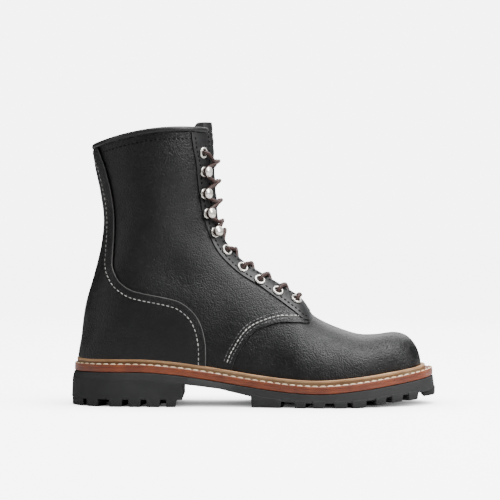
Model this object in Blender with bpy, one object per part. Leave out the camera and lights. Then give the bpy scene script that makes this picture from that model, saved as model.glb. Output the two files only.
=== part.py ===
"""Logger boot, right foot, standing empty on its sole.

The toe points along +X and +Z is up. The outer side of the boot faces -Y.
Every length is in metres. Lengths along the boot are measured from the back of the
rubber and heights from the floor, and the finished pieces are centred on the origin.
"""
import math
from collections import namedtuple
from functools import lru_cache

import bmesh
import bpy
import numpy as np

# Driving sizes of the boot
SOLE_LENGTH = 0.305
SOLE_WIDTH = 0.114
FOOT_LENGTH = 0.2832
BALL_WIDTH = 0.100
INSTEP_HEIGHT = 0.121
SHAFT_HEIGHT = 0.084
HEEL_SET = 0.0101
BALL_RUBBER = 0.011
HEEL_RISE = 0.017
TOE_RISE = 0.0115

# Thicknesses and clearances
GAP = 0.0003
MIDSOLE = 0.0037
WELT = 0.0024
RIDGE_TOP = 0.0113
RIDGE_THICK = 0.0030
QUARTER_STEP = 0.0012
VAMP_WALL = 0.0018
COUNTER = 0.0015
EYESTAY = 0.0009
TONGUE = 0.0030
INSOLE = 0.0030
BINDING_TALL = 0.0046
BINDING_THICK = 0.0042
EDGE_SET = 0.0026
RUBBER_DRAFT = 0.0008
HEEL_DRAFT = 0.0022
HEEL_LUG_DEPTH = 0.0060
HEEL_BREAST = 0.0937
LUG_ROOT = 0.0020
WELD = 0.00001

# Lacing sizes
EYELET_RADIUS = 0.00475
EYELET_HOLE = 0.0025
EYELET_BARREL = 0.0030
HOOK_CAP = 0.0039
HOOK_STEM = 0.0013
HOOK_HEIGHT = 0.0070
LACE_RADIUS = 0.0017
EYELET_LACE = 0.0039
HOOK_LACE = 0.0032
LACE_SPACING = 0.0030
LACE_EASE = 0.0003

# Steps round and along the boot
ROWS_ALONG = 32
STEPS_ROUND = 20
EASE_ROUNDS = 24

UPPER_WALL = QUARTER_STEP + VAMP_WALL
FEATHER = GAP + MIDSOLE + GAP

# One section of the boot per row, from under the toe, over the ball and the ankle, to above
# the collar. Each is an oval between a ridge point at the front and a base point at the
# underside or the back. Lengths are shares of the foot length, heights are shares of the
# instep height up to one and of the shaft height above it, widths are shares of the ball.
Section = namedtuple("Section", "name ridge ridge_up base base_up outer inner widest "
                                "crown_round base_round swing bow")
SECTIONS = (
    Section("under toe", 0.981, -0.127, 0.911, -0.214, 0.300, 0.300, 0.42, 2.00, 2.00, 0.055, 0.000),
    Section("toe edge", 1.000, 0.014, 0.904, -0.212, 0.310, 0.310, 0.35, 2.05, 2.00, 0.055, 0.000),
    Section("toe face", 0.998, 0.114, 0.897, -0.209, 0.335, 0.335, 0.45, 2.10, 2.00, 0.054, 0.000),
    Section("toe brow", 0.982, 0.209, 0.888, -0.206, 0.355, 0.355, 0.50, 2.20, 2.00, 0.052, 0.000),
    Section("toe crown", 0.955, 0.282, 0.875, -0.202, 0.375, 0.375, 0.54, 2.30, 2.10, 0.048, 0.000),
    Section("toe top", 0.918, 0.318, 0.859, -0.196, 0.405, 0.405, 0.54, 2.35, 2.20, 0.042, 0.000),
    Section("vamp dip", 0.865, 0.323, 0.833, -0.188, 0.445, 0.445, 0.51, 2.30, 2.30, 0.032, 0.000),
    Section("vamp", 0.815, 0.340, 0.796, -0.178, 0.475, 0.475, 0.47, 2.20, 2.40, 0.020, 0.000),
    Section("inner ball", 0.762, 0.389, 0.748, -0.150, 0.493, 0.498, 0.40, 2.05, 2.40, 0.010, 0.000),
    Section("ball", 0.713, 0.446, 0.692, -0.151, 0.503, 0.503, 0.36, 1.95, 2.40, 0.002, 0.000),
    Section("outer ball", 0.672, 0.509, 0.635, -0.155, 0.493, 0.475, 0.33, 1.85, 2.40, -0.003, 0.000),
    Section("throat", 0.639, 0.606, 0.579, -0.158, 0.465, 0.435, 0.31, 1.80, 2.40, -0.005, 0.000),
    Section("waist", 0.586, 0.682, 0.508, -0.164, 0.428, 0.388, 0.31, 1.80, 2.40, -0.006, 0.000),
    Section("arch", 0.529, 0.751, 0.416, -0.173, 0.396, 0.346, 0.33, 1.85, 2.50, -0.006, 0.000),
    Section("instep", 0.476, 0.820, 0.310, -0.179, 0.378, 0.344, 0.36, 1.90, 2.50, -0.004, 0.000),
    Section("low ankle", 0.434, 0.912, 0.190, -0.166, 0.378, 0.360, 0.40, 1.95, 2.60, -0.002, 0.000),
    Section("ankle", 0.406, 1.036, 0.063, -0.135, 0.382, 0.376, 0.44, 2.00, 2.50, 0.000, 0.000),
    Section("heel corner", 0.392, 1.201, -0.007, -0.019, 0.385, 0.383, 0.47, 2.05, 2.35, 0.000, 0.000),
    Section("heel", 0.386, 1.353, 0.000, 0.212, 0.385, 0.385, 0.48, 2.10, 2.20, 0.000, 0.000),
    Section("counter", 0.383, 1.494, 0.012, 0.419, 0.388, 0.388, 0.49, 2.10, 2.15, 0.000, 0.000),
    Section("achilles", 0.381, 1.624, 0.038, 0.634, 0.395, 0.395, 0.50, 2.10, 2.10, 0.000, 0.000),
    Section("low shaft", 0.380, 1.736, 0.058, 0.832, 0.405, 0.405, 0.50, 2.10, 2.10, 0.000, 0.000),
    Section("mid shaft", 0.379, 1.825, 0.065, 1.020, 0.418, 0.418, 0.50, 2.10, 2.10, 0.000, 0.005),
    Section("shaft", 0.378, 1.896, 0.055, 1.282, 0.430, 0.430, 0.50, 2.10, 2.10, 0.000, 0.016),
    Section("high shaft", 0.376, 1.948, 0.040, 1.520, 0.440, 0.440, 0.50, 2.10, 2.10, 0.000, 0.032),
    Section("collar", 0.375, 1.989, 0.030, 1.752, 0.448, 0.448, 0.50, 2.10, 2.10, 0.000, 0.048),
    Section("over collar", 0.373, 2.131, 0.026, 1.937, 0.456, 0.456, 0.50, 2.10, 2.10, 0.000, 0.048),
)

# Outline of the rubber in plan: share of the sole length, then shares of the sole width
# out to the outer and to the inner side.
Outline = namedtuple("Outline", "along outer inner")
OUTLINE = (
    Outline(0.000, 0.000, 0.000),
    Outline(0.010, 0.132, 0.132),
    Outline(0.030, 0.219, 0.215),
    Outline(0.070, 0.303, 0.298),
    Outline(0.130, 0.351, 0.346),
    Outline(0.200, 0.371, 0.364),
    Outline(0.280, 0.375, 0.364),
    Outline(0.380, 0.377, 0.345),
    Outline(0.480, 0.405, 0.345),
    Outline(0.570, 0.454, 0.386),
    Outline(0.650, 0.493, 0.447),
    Outline(0.720, 0.503, 0.488),
    Outline(0.790, 0.465, 0.496),
    Outline(0.860, 0.382, 0.465),
    Outline(0.920, 0.303, 0.408),
    Outline(0.965, 0.206, 0.320),
    Outline(0.990, 0.085, 0.199),
    Outline(1.000, -0.053, 0.053),
)

# Edge lines seen from the side, back to front. Along is a share of the foot length and up is
# a share of the instep height, then of the shaft height, as in the sections.
EdgePoint = namedtuple("EdgePoint", "along up")
COUNTER_EDGE = (
    EdgePoint(0.362, -0.200),
    EdgePoint(0.362, 0.029),
    EdgePoint(0.362, 0.169),
    EdgePoint(0.358, 0.242),
    EdgePoint(0.349, 0.318),
    EdgePoint(0.334, 0.381),
    EdgePoint(0.312, 0.429),
    EdgePoint(0.284, 0.463),
    EdgePoint(0.252, 0.477),
    EdgePoint(0.218, 0.487),
    EdgePoint(0.179, 0.500),
    EdgePoint(0.144, 0.523),
    EdgePoint(0.114, 0.575),
    EdgePoint(0.099, 0.636),
    EdgePoint(0.093, 0.695),
    EdgePoint(0.095, 0.779),
    EdgePoint(0.098, 0.892),
    EdgePoint(0.098, 1.019),
    EdgePoint(0.094, 1.170),
    EdgePoint(0.086, 1.321),
    EdgePoint(0.077, 1.445),
    EdgePoint(0.066, 1.570),
    EdgePoint(0.051, 1.708),
    EdgePoint(0.040, 1.900),
)
QUARTER_EDGE = (
    EdgePoint(0.425, -0.200),
    EdgePoint(0.441, 0.093),
    EdgePoint(0.451, 0.156),
    EdgePoint(0.462, 0.206),
    EdgePoint(0.475, 0.262),
    EdgePoint(0.491, 0.316),
    EdgePoint(0.508, 0.353),
    EdgePoint(0.526, 0.379),
    EdgePoint(0.550, 0.407),
    EdgePoint(0.576, 0.429),
    EdgePoint(0.601, 0.437),
    EdgePoint(0.634, 0.440),
    EdgePoint(0.664, 0.440),
    EdgePoint(0.671, 0.460),
    EdgePoint(0.671, 0.900),
)
EYESTAY_EDGE = (
    EdgePoint(0.316, 2.100),
    EdgePoint(0.320, 1.893),
    EdgePoint(0.325, 1.756),
    EdgePoint(0.333, 1.622),
    EdgePoint(0.339, 1.410),
    EdgePoint(0.347, 1.214),
    EdgePoint(0.357, 1.068),
    EdgePoint(0.378, 0.941),
    EdgePoint(0.406, 0.846),
    EdgePoint(0.428, 0.793),
    EdgePoint(0.462, 0.738),
    EdgePoint(0.510, 0.684),
    EdgePoint(0.555, 0.638),
    EdgePoint(0.604, 0.589),
    EdgePoint(0.626, 0.540),
    EdgePoint(0.645, 0.492),
    EdgePoint(0.665, 0.478),
    EdgePoint(0.668, 0.900),
)

# Middle of each eyelet and hook seen from the side, from the vamp up.
LacePoint = namedtuple("LacePoint", "kind along up")
LACE_POINTS = (
    LacePoint("eyelet", 0.627, 0.595),
    LacePoint("eyelet", 0.573, 0.641),
    LacePoint("eyelet", 0.520, 0.700),
    LacePoint("eyelet", 0.470, 0.768),
    LacePoint("eyelet", 0.424, 0.868),
    LacePoint("hook", 0.389, 0.973),
    LacePoint("hook", 0.367, 1.135),
    LacePoint("hook", 0.358, 1.325),
    LacePoint("hook", 0.357, 1.540),
    LacePoint("eyelet", 0.356, 1.726),
)

# Half of the open throat, as a share of the ball width, at places counted in section rows.
ThroatPoint = namedtuple("ThroatPoint", "place half")
THROAT = (
    ThroatPoint(11.0, 0.075),
    ThroatPoint(12.0, 0.085),
    ThroatPoint(14.0, 0.100),
    ThroatPoint(16.0, 0.115),
    ThroatPoint(19.0, 0.130),
    ThroatPoint(26.0, 0.145),
)
COLLAR_ROW = 25
TONGUE_START = 9.9
TONGUE_END = COLLAR_ROW + 0.42
TONGUE_WIDTH = 0.060
TONGUE_BULGE = 0.0030
TONGUE_DROP = 0.0011


# Shape of the boot

def between(rows, place):
    """Values of a table at a place between two of its rows, on a smooth line."""
    last = len(rows) - 1
    row = min(max(int(place), 0), last - 1)
    t = place - row
    a, b, c, d = (np.array(rows[min(max(row + k, 0), last)][1:], float) for k in (-1, 0, 1, 2))
    return 0.5 * (2 * b + (c - a) * t + (2 * a - 5 * b + 4 * c - d) * t ** 2
                  + (3 * b - a - 3 * c + d) * t ** 3)


def sole_top(x):
    """Height of the rubber's top face: heel, slope to the ball, then the toe spring."""
    along = (x - HEEL_SET) / FOOT_LENGTH
    t = min(max((along - 0.15) / 0.54, 0), 1)
    slope = 1 - t * t * (3 - 2 * t)
    toe = max((along - 0.69) / 0.318, 0) ** 1.5
    return BALL_RUBBER + HEEL_RISE * slope + TOE_RISE * toe


def side_point(along, up):
    """Length and height of a point given in shares of the foot, instep and shaft."""
    x = HEEL_SET + along * FOOT_LENGTH
    height = up * INSTEP_HEIGHT if up < 1 else INSTEP_HEIGHT + (up - 1) * SHAFT_HEIGHT
    return x, sole_top(x) + FEATHER + height


def power(value, exponent):
    return math.copysign(abs(value) ** exponent, value)


@lru_cache(maxsize=None)
def section_at(place):
    return Section("", *between(SECTIONS, place))


def middle_skin(place, angle):
    """Point of the quarter's face: angle 0 on the ridge, a quarter turn on the outer side."""
    s = section_at(round(place, 6))
    ridge = np.array(side_point(s.ridge, s.ridge_up))
    base = np.array(side_point(s.base, s.base_up))
    half = BALL_WIDTH * (s.outer if math.sin(angle) > 0 else s.inner)
    if math.cos(angle) > 0:
        rise = s.widest + (1 - s.widest) * math.cos(angle) ** (2 / s.crown_round)
        side = power(math.sin(angle), 2 / s.crown_round)
    else:
        rise = s.widest - s.widest * abs(math.cos(angle)) ** (2 / s.base_round)
        side = power(math.sin(angle), 2 / s.base_round)
    x, z = base + rise * (ridge - base)
    z += BALL_WIDTH * s.bow * math.sin(math.pi * min(max(rise, 0), 1))
    return np.array((x, BALL_WIDTH * s.swing - half * side, z))


def skin_normal(place, angle):
    low, high = max(place - 0.15, 0), min(place + 0.15, len(SECTIONS) - 1)
    along = middle_skin(high, angle) - middle_skin(low, angle)
    round_it = middle_skin(place, angle + 0.12) - middle_skin(place, angle - 0.12)
    out = np.cross(along, round_it)
    return out / max(np.linalg.norm(out), 1e-9)


def skin(place, angle, offset):
    return middle_skin(place, angle) + offset * skin_normal(place, angle)


def throat_half(place):
    places = [p.place for p in THROAT]
    return BALL_WIDTH * float(np.interp(place, places, [p.half for p in THROAT]))


def angle_at(place, y):
    """Angle on the front of a section at which the skin has a given y."""
    s = section_at(round(place, 6))
    half = BALL_WIDTH * (s.outer if y < 0 else s.inner)
    share = min(abs(y - BALL_WIDTH * s.swing) / half, 1)
    return math.copysign(math.asin(share ** (s.crown_round / 2)), -(y - BALL_WIDTH * s.swing))


# Making of solids

def new_solid(name, points, faces):
    mesh = bpy.data.meshes.new(name)
    shift = SOLE_LENGTH / 2
    mesh.from_pydata([(p[0] - shift, p[1], p[2]) for p in points], [], faces)
    mesh.update()
    work = bmesh.new()
    work.from_mesh(mesh)
    bmesh.ops.recalc_face_normals(work, faces=work.faces)
    work.to_mesh(mesh)
    work.free()
    obj = bpy.data.objects.new(name, mesh)
    bpy.context.collection.objects.link(obj)
    return obj


def loft(name, rings):
    """Closed solid through rings of equal count, with a flat end at each end."""
    count = len(rings[0])
    points = [p for ring in rings for p in ring]
    faces = [tuple(range(count)), tuple(range(len(points) - count, len(points)))]
    for r in range(len(rings) - 1):
        for k in range(count):
            n = (k + 1) % count
            a, b, c, d = r * count + k, r * count + n, (r + 1) * count + n, (r + 1) * count + k
            faces += [(a, b, c), (a, c, d)]
    return new_solid(name, points, faces)


def boolean(target, tool, operation):
    """Applies one Boolean and removes its tool. The exact solver leaves the upper open."""
    step = target.modifiers.new("step", "BOOLEAN")
    step.operation = operation
    exact = not target.name.startswith(("upper", "quarter"))
    step.solver = "EXACT" if exact else "MANIFOLD"
    step.object = tool
    bpy.context.view_layer.update()
    result = bpy.data.meshes.new_from_object(
        target.evaluated_get(bpy.context.evaluated_depsgraph_get()))
    target.modifiers.clear()
    work = bmesh.new()
    work.from_mesh(result)
    bmesh.ops.triangulate(work, faces=work.faces)
    if exact:
        bmesh.ops.remove_doubles(work, verts=work.verts, dist=WELD)
        bmesh.ops.dissolve_degenerate(work, edges=work.edges, dist=WELD)
    work.to_mesh(result)
    work.free()
    target.data = result
    bpy.data.objects.remove(tool, do_unlink=True)
    return target


def cut(target, tool):
    return boolean(target, tool, "DIFFERENCE")


def keep(target, tool):
    return boolean(target, tool, "INTERSECT")


def join(target, tool):
    return boolean(target, tool, "UNION")


def form(name, offset, hollow=False):
    """The whole boot as one closed solid, grown or shrunk from the quarter's face.
    The hollow one starts a little later and ends a little higher than the others."""
    places = list(np.linspace(0.3, COLLAR_ROW + 0.9, ROWS_ALONG))
    places = places + [COLLAR_ROW + 1.0] if hollow else [0.0] + places
    angles = [2 * math.pi * k / STEPS_ROUND for k in range(STEPS_ROUND)]
    return loft(name, [[skin(place, angle, offset) for angle in angles] for place in places])


def side_prism(name, outline, y_low, y_high):
    """Solid between two heights of y with an outline of lengths and heights."""
    return loft(name, [[(x, y_low, z) for x, z in outline], [(x, y_high, z) for x, z in outline]])


def smooth_line(points, steps):
    rows = [("",) + tuple(p) for p in points]
    places = np.linspace(0, len(rows) - 1, steps)
    return [tuple(between(rows, place)) for place in places]


def edge_line(table, shift=0.0):
    return [(x + shift, z) for x, z in (side_point(p.along, p.up) for p in table)]


def below_feather(name, lift=0.0):
    xs = np.linspace(-0.03, 0.34, 38)
    line = [(x, sole_top(x) + FEATHER + lift) for x in xs]
    return side_prism(name, line + [(0.34, -0.06), (-0.03, -0.06)], -0.09, 0.09)


def collar_line(drop):
    """Top edge of the boot seen from the side, lowered by a drop."""
    line = []
    for k in range(9):
        x, _, z = middle_skin(COLLAR_ROW, math.pi * (1 - k / 8))
        line.append((x, z - drop))
    (x0, z0), (x1, z1) = line[0], line[-1]
    slope = (z1 - line[-2][1]) / (x1 - line[-2][0])
    start = (z0 - line[1][1]) / (x0 - line[1][0])
    return [(x0 - 0.03, z0 - 0.03 * start)] + line + [(x1 + 0.04, z1 + 0.04 * slope)]


def above_collar(name, drop):
    line = collar_line(drop)
    return side_prism(name, line + [(line[-1][0], 0.30), (line[0][0], 0.30)], -0.09, 0.09)


def throat_tool(name, first, outward, inward):
    """The open throat: a strip along the ridge, rounded at its lower end."""
    rings = []
    places = [first + (COLLAR_ROW + 0.95 - first) * k / 30 for k in range(31)]
    for number, place in enumerate(places):
        here = middle_skin(place, 0)
        out = skin_normal(place, 0)
        half = throat_half(place)
        if number < 3:
            half *= (0.45, 0.78, 0.95)[number]
        low, high = here - inward * out, here + outward * out
        rings.append([(low[0], -half, low[2]), (high[0], -half, high[2]),
                      (high[0], half, high[2]), (low[0], half, low[2])])
    return loft(name, rings)


def outline_pair(t, inset):
    """Outer and inner point of the sole's outline, at an angle share from heel to toe."""
    angles = [math.acos(1 - 2 * p.along) / math.pi for p in OUTLINE]

    def raw(share, column):
        row = int(np.searchsorted(angles, min(max(share, 0), 1), side="right")) - 1
        row = min(max(row, 0), len(OUTLINE) - 2)
        step = (share - angles[row]) / (angles[row + 1] - angles[row])
        x = SOLE_LENGTH * (1 - math.cos(math.pi * share)) / 2
        slopes = []
        for k in (row, row + 1):
            a, b = max(k - 1, 0), min(k + 1, len(OUTLINE) - 1)
            slopes.append((OUTLINE[b][column] - OUTLINE[a][column]) / (angles[b] - angles[a]))
        width = angles[row + 1] - angles[row]
        y0, y1 = OUTLINE[row][column], OUTLINE[row + 1][column]
        y = ((2 * step ** 3 - 3 * step ** 2 + 1) * y0 + (3 * step ** 2 - 2 * step ** 3) * y1
             + (step ** 3 - 2 * step ** 2 + step) * width * slopes[0]
             + (step ** 3 - step ** 2) * width * slopes[1])
        return np.array((x, y * SOLE_WIDTH * (-1 if column == 1 else 1)))

    pair = []
    for column, turn in ((1, 1), (2, -1)):
        here = raw(t, column)
        if t <= 0 or t >= 1:
            pair.append(here + np.array((inset if t <= 0 else -inset, 0)))
            continue
        run = raw(min(t + 0.01, 1), column) - raw(max(t - 0.01, 0), column)
        normal = turn * np.array((-run[1], run[0]))
        pair.append(here + inset * normal / np.linalg.norm(normal))
    return pair


def deck(name, low, high, inset_low, inset_high, start=0.0, end=1.0, steps=34):
    """A layer of the sole: low and high give its faces' heights at a length."""
    rings = []
    for k in range(steps + 1):
        t = start + (end - start) * k / steps
        t = min(max(t, 0.012), 0.988)
        a, b = outline_pair(t, inset_low)
        c, d = outline_pair(t, inset_high)
        rings.append([(a[0], a[1], low(a[0])), (b[0], b[1], low(b[0])),
                      (d[0], d[1], high(d[0])), (c[0], c[1], high(c[0]))])
    return loft(name, rings)


def even_points(line, spacing):
    """Points an even spacing apart along a line."""
    run = np.concatenate(([0], np.cumsum(np.linalg.norm(np.diff(line, axis=0), axis=1))))
    steps = np.linspace(0, run[-1], max(int(round(run[-1] / spacing)), 2) + 1)
    return np.stack([np.interp(steps, run, line[:, k]) for k in range(3)], axis=1)


def cord_path(points):
    """Path of a soft cord through points, with its sharp turns eased."""
    line = even_points(np.array(smooth_line(points, 12 * len(points))), LACE_EASE)
    for _ in range(EASE_ROUNDS):
        line[1:-1] = (line[:-2] + line[1:-1] + line[2:]) / 3
    return even_points(line, LACE_SPACING)


def tube(name, path, radius, sides=6):
    """Round cord along a path, with a flat end at each end."""
    path = [np.array(p, float) for p in path]
    rings = []
    across = None
    for k, here in enumerate(path):
        run = path[min(k + 1, len(path) - 1)] - path[max(k - 1, 0)]
        run /= np.linalg.norm(run)
        if across is None:
            across = np.cross(run, (0.0, 0.0, 1.0))
        across = across - run * np.dot(across, run)
        across /= np.linalg.norm(across)
        other = np.cross(run, across)
        rings.append([here + radius * (math.cos(a) * across + math.sin(a) * other)
                      for a in (2 * math.pi * s / sides for s in range(sides))])
    return loft(name, rings)


def turned(name, profile, spot, out, up, steps=10):
    """Closed ring turned about a normal: profile rows are radius and height."""
    side = np.cross(up, out)
    points = []
    for k in range(steps):
        a = 2 * math.pi * k / steps
        for radius, height in profile:
            points.append(spot + height * out
                          + radius * (math.cos(a) * up + math.sin(a) * side))
    count = len(profile)
    faces = []
    for k in range(steps):
        n = (k + 1) % steps
        for p in range(count):
            q = (p + 1) % count
            faces.append((k * count + p, k * count + q, n * count + q, n * count + p))
    return new_solid(name, points, faces)


def round_solid(name, profile, spot, out, up, steps=10):
    """Solid turned about a normal, closed at both ends."""
    side = np.cross(up, out)
    rings = []
    for radius, height in profile:
        rings.append([spot + height * out + radius * (math.cos(a) * up + math.sin(a) * side)
                      for a in (2 * math.pi * k / steps for k in range(steps))])
    return loft(name, rings)


def find_spot(along, up):
    """Place and angle of the outer side's skin seen at a given side point."""
    x, z = side_point(along, up)
    best = None
    for place in np.arange(10, COLLAR_ROW + 1, 0.5):
        for angle in np.arange(0.1, 1.5, 0.07):
            p = skin(place, angle, EYESTAY + GAP)
            far = (p[0] - x) ** 2 + (p[2] - z) ** 2
            if best is None or far < best[0]:
                best = (far, place, angle)
    step_place, step_angle = 0.25, 0.035
    for _ in range(14):
        _, place, angle = best
        for a in (place - step_place, place, place + step_place):
            for b in (angle - step_angle, angle, angle + step_angle):
                p = skin(a, b, EYESTAY + GAP)
                far = (p[0] - x) ** 2 + (p[2] - z) ** 2
                if far < best[0]:
                    best = (far, a, b)
        step_place *= 0.6
        step_angle *= 0.6
    return best[1], best[2]


def finish(obj, colour, roughness, metallic, smooth_angle):
    material = bpy.data.materials.new(obj.name)
    material.use_nodes = True
    shader = material.node_tree.nodes["Principled BSDF"]
    shader.inputs["Base Color"].default_value = (*colour, 1)
    shader.inputs["Roughness"].default_value = roughness
    shader.inputs["Metallic"].default_value = metallic
    obj.data.materials.clear()
    obj.data.materials.append(material)
    bpy.ops.object.select_all(action="DESELECT")
    obj.select_set(True)
    bpy.context.view_layer.objects.active = obj
    bpy.ops.object.shade_smooth_by_angle(angle=math.radians(smooth_angle))


for old in list(bpy.data.objects):
    bpy.data.objects.remove(old, do_unlink=True)

BLACK_LEATHER = (0.022, 0.021, 0.021)
RUBBER = (0.030, 0.030, 0.030)
LACE = (0.035, 0.020, 0.015)
NICKEL = (0.62, 0.58, 0.50)

# Lace fittings: where each one sits, and the way it faces, on both sides of the throat
fittings = []
for number, row in enumerate(LACE_POINTS):
    place, angle = find_spot(row.along, row.up)
    for side, turn in (("outer", 1), ("inner", -1)):
        spot = skin(place, turn * angle, EYESTAY + GAP)
        out = skin_normal(place, turn * angle)
        ahead = middle_skin(place + 0.2, turn * angle) - middle_skin(place - 0.2, turn * angle)
        ahead = ahead - out * np.dot(ahead, out)
        ahead = ahead / np.linalg.norm(ahead)
        inward = turn * np.cross(ahead, out)
        fittings.append((number, row.kind, side, place, spot, out, ahead, inward))


def fitting_holes(name, radius, sides=("outer", "inner")):
    """Round tools through the leather under every eyelet, as one mesh."""
    points, faces = [], []
    steps = 8
    for number, kind, side, place, spot, out, ahead, inward in fittings:
        if kind != "eyelet" or side not in sides:
            continue
        across = np.cross(ahead, out)
        start = len(points)
        for height in (-0.008, 0.004):
            for k in range(steps):
                a = 2 * math.pi * k / steps
                points.append(spot + height * out
                              + radius * (math.cos(a) * ahead + math.sin(a) * across))
        faces.append(tuple(range(start, start + steps)))
        faces.append(tuple(range(start + steps, start + 2 * steps)))
        for k in range(steps):
            n = (k + 1) % steps
            faces.append((start + k, start + n, start + steps + n, start + steps + k))
    return new_solid(name, points, faces)


# Upper: vamp and quarters, one hollow solid with the quarters a step proud of the vamp
rim_drop = BINDING_TALL + GAP
quarter_region = edge_line(QUARTER_EDGE)
quarter_region += [(quarter_region[-1][0], 0.30), (-0.03, 0.30), (-0.03, quarter_region[0][1])]
quarter = keep(form("quarter", 0.0), side_prism("region", quarter_region, -0.09, 0.09))
quarter = cut(quarter, throat_tool("tab slot", 9.6, 0.004, 0.010))
upper = join(form("upper", -QUARTER_STEP), quarter)
upper = cut(upper, form("inside", -UPPER_WALL, True))
upper = cut(upper, below_feather("underside"))
upper = cut(upper, above_collar("over collar", rim_drop))
upper = cut(upper, throat_tool("throat", 11.0, 0.012, 0.010))
upper = cut(upper, fitting_holes("holes", EYELET_BARREL + GAP))
finish(upper, BLACK_LEATHER, 0.45, 0.0, 40)

# Counter: the heel cover with its backstay, cut between two larger forms
counter_region = edge_line(COUNTER_EDGE)
counter_region += [(-0.03, counter_region[-1][1]), (-0.03, counter_region[0][1])]
counter = cut(form("counter", GAP + COUNTER), form("inside", GAP, True))
counter = keep(counter, side_prism("region", counter_region, -0.09, 0.09))
counter = cut(counter, below_feather("underside"))
counter = cut(counter, above_collar("over collar", rim_drop + GAP))
finish(counter, BLACK_LEATHER, 0.42, 0.0, 40)

# Eyestays: smooth facings along the throat, one on each side
for side, y_low, y_high in (("outer", -0.09, 0.0), ("inner", 0.0, 0.09)):
    eyestay_region = edge_line(EYESTAY_EDGE)
    eyestay_region += [(0.26, 0.13), (0.16, 0.19), (0.16, eyestay_region[0][1])]
    facing = cut(form("eyestay_" + side, GAP + EYESTAY), form("inside", GAP, True))
    facing = keep(facing, side_prism("region", eyestay_region, y_low, y_high))
    facing = cut(facing, above_collar("over collar", rim_drop))
    facing = cut(facing, throat_tool("throat", 9.6, 0.012, 0.014))
    facing = cut(facing, fitting_holes("holes", EYELET_BARREL + GAP, (side,)))
    finish(facing, (0.030, 0.029, 0.029), 0.40, 0.0, 40)

# Binding: the rolled edge that rests on the collar's rim
binding_rings = []
for k in range(25):
    low, high = COLLAR_ROW - 3.0, COLLAR_ROW + 0.9
    start = angle_at(COLLAR_ROW, -throat_half(COLLAR_ROW) - 0.0030)
    angle = start + (2 * math.pi - 2 * start) * k / 24
    line = collar_line(BINDING_TALL / 2)
    for _ in range(24):
        place = (low + high) / 2
        p = skin(place, angle, BINDING_THICK / 2 - UPPER_WALL)
        if p[2] < np.interp(p[0], [q[0] for q in line], [q[1] for q in line]):
            low = place
        else:
            high = place
    out = skin_normal(place, angle)
    out = np.array((out[0], out[1], 0)) / math.hypot(out[0], out[1])
    ring = []
    for s in range(8):
        a = 2 * math.pi * (s + 0.5) / 8
        ring.append(p + BINDING_THICK / 2 * power(math.cos(a), 0.8) * out
                    + np.array((0, 0, BINDING_TALL / 2 * power(math.sin(a), 0.8))))
    binding_rings.append(ring)
finish(loft("binding", binding_rings), BLACK_LEATHER, 0.40, 0.0, 80)

# Tongue: a curved leather sheet under the throat, standing above the collar
tongue_rings = []
for k in range(21):
    place = TONGUE_START + (TONGUE_END - TONGUE_START) * k / 20
    half = TONGUE_WIDTH / 2 * min(1, 0.72 + 0.06 * k)
    if k > 18:
        half *= (0.965, 0.88)[k - 19]
    top, under = [], []
    for s in range(9):
        y = half * (s / 4 - 1)
        angle = angle_at(place, y)
        lift = max(1 - (y / throat_half(place)) ** 2, 0) * min(max((place - 11.2) / 1.5, 0), 1)
        offset = -UPPER_WALL - GAP - TONGUE_DROP + TONGUE_BULGE * lift
        top.append(skin(place, angle, offset))
        under.append(skin(place, angle, offset - TONGUE))
    tongue_rings.append(top + under[::-1])
finish(loft("tongue", tongue_rings), (0.028, 0.027, 0.027), 0.5, 0.0, 50)

# Insole: a flat sheet inside the upper, on top of the midsole
insole = keep(form("insole", -UPPER_WALL - GAP),
              deck("slab", lambda x: sole_top(x) + FEATHER, lambda x: sole_top(x) + FEATHER + INSOLE,
                   -0.01, -0.01))
finish(insole, (0.28, 0.20, 0.12), 0.8, 0.0, 40)

# Welt: a flat strip round the boot with a raised ridge against the upper
welt = deck("welt", lambda x: sole_top(x) + FEATHER, lambda x: sole_top(x) + FEATHER + WELT,
            EDGE_SET, EDGE_SET)
ridge = keep(form("ridge", GAP + RIDGE_THICK),
             deck("slab", lambda x: sole_top(x) + FEATHER + WELT / 2,
                  lambda x: sole_top(x) + RIDGE_TOP, 0.0, 0.0))
welt = join(welt, ridge)
quarter_room = keep(form("room", GAP), side_prism("region", [(x + GAP, z) for x, z in quarter_region],
                                                  -0.09, 0.09))
counter_room = keep(form("room", 2 * GAP + COUNTER),
                    side_prism("region", [(x + GAP, z) for x, z in counter_region], -0.09, 0.09))
welt = cut(welt, form("room", GAP - QUARTER_STEP))
welt = cut(welt, quarter_room)
welt = cut(welt, counter_room)
finish(welt, (0.16, 0.09, 0.045), 0.55, 0.0, 40)

# Midsole: one leather layer between the welt and the rubber
midsole = deck("midsole", lambda x: sole_top(x) + GAP, lambda x: sole_top(x) + GAP + MIDSOLE,
               EDGE_SET, EDGE_SET)
finish(midsole, (0.13, 0.045, 0.025), 0.5, 0.0, 40)


# Underside of the rubber, heel to toe: share of the sole length, then the sheet's underside as
# a share of the rubber's height there, and the ground side of the lugs as a share of the toe rise
Under = namedtuple("Under", "along sheet ground")
UNDERSIDE = (
    Under(0.00, 0.786, 0.000),
    Under(0.28, 0.750, 0.000),
    Under(0.34, 0.742, 0.000),
    Under(0.41, 0.734, 0.000),
    Under(0.47, 0.613, 0.000),
    Under(0.52, 0.472, 0.000),
    Under(0.60, 0.375, 0.000),
    Under(0.78, 0.334, 0.000),
    Under(0.83, 0.441, 0.191),
    Under(0.88, 0.497, 0.348),
    Under(0.93, 0.503, 0.452),
    Under(1.00, 0.513, 0.696),
)


def under_sheet(x):
    share = np.interp(x / SOLE_LENGTH, [u.along for u in UNDERSIDE], [u.sheet for u in UNDERSIDE])
    return float(share) * sole_top(x)


def ground_line(x):
    share = np.interp(x / SOLE_LENGTH, [u.along for u in UNDERSIDE], [u.ground for u in UNDERSIDE])
    return float(share) * TOE_RISE


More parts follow.
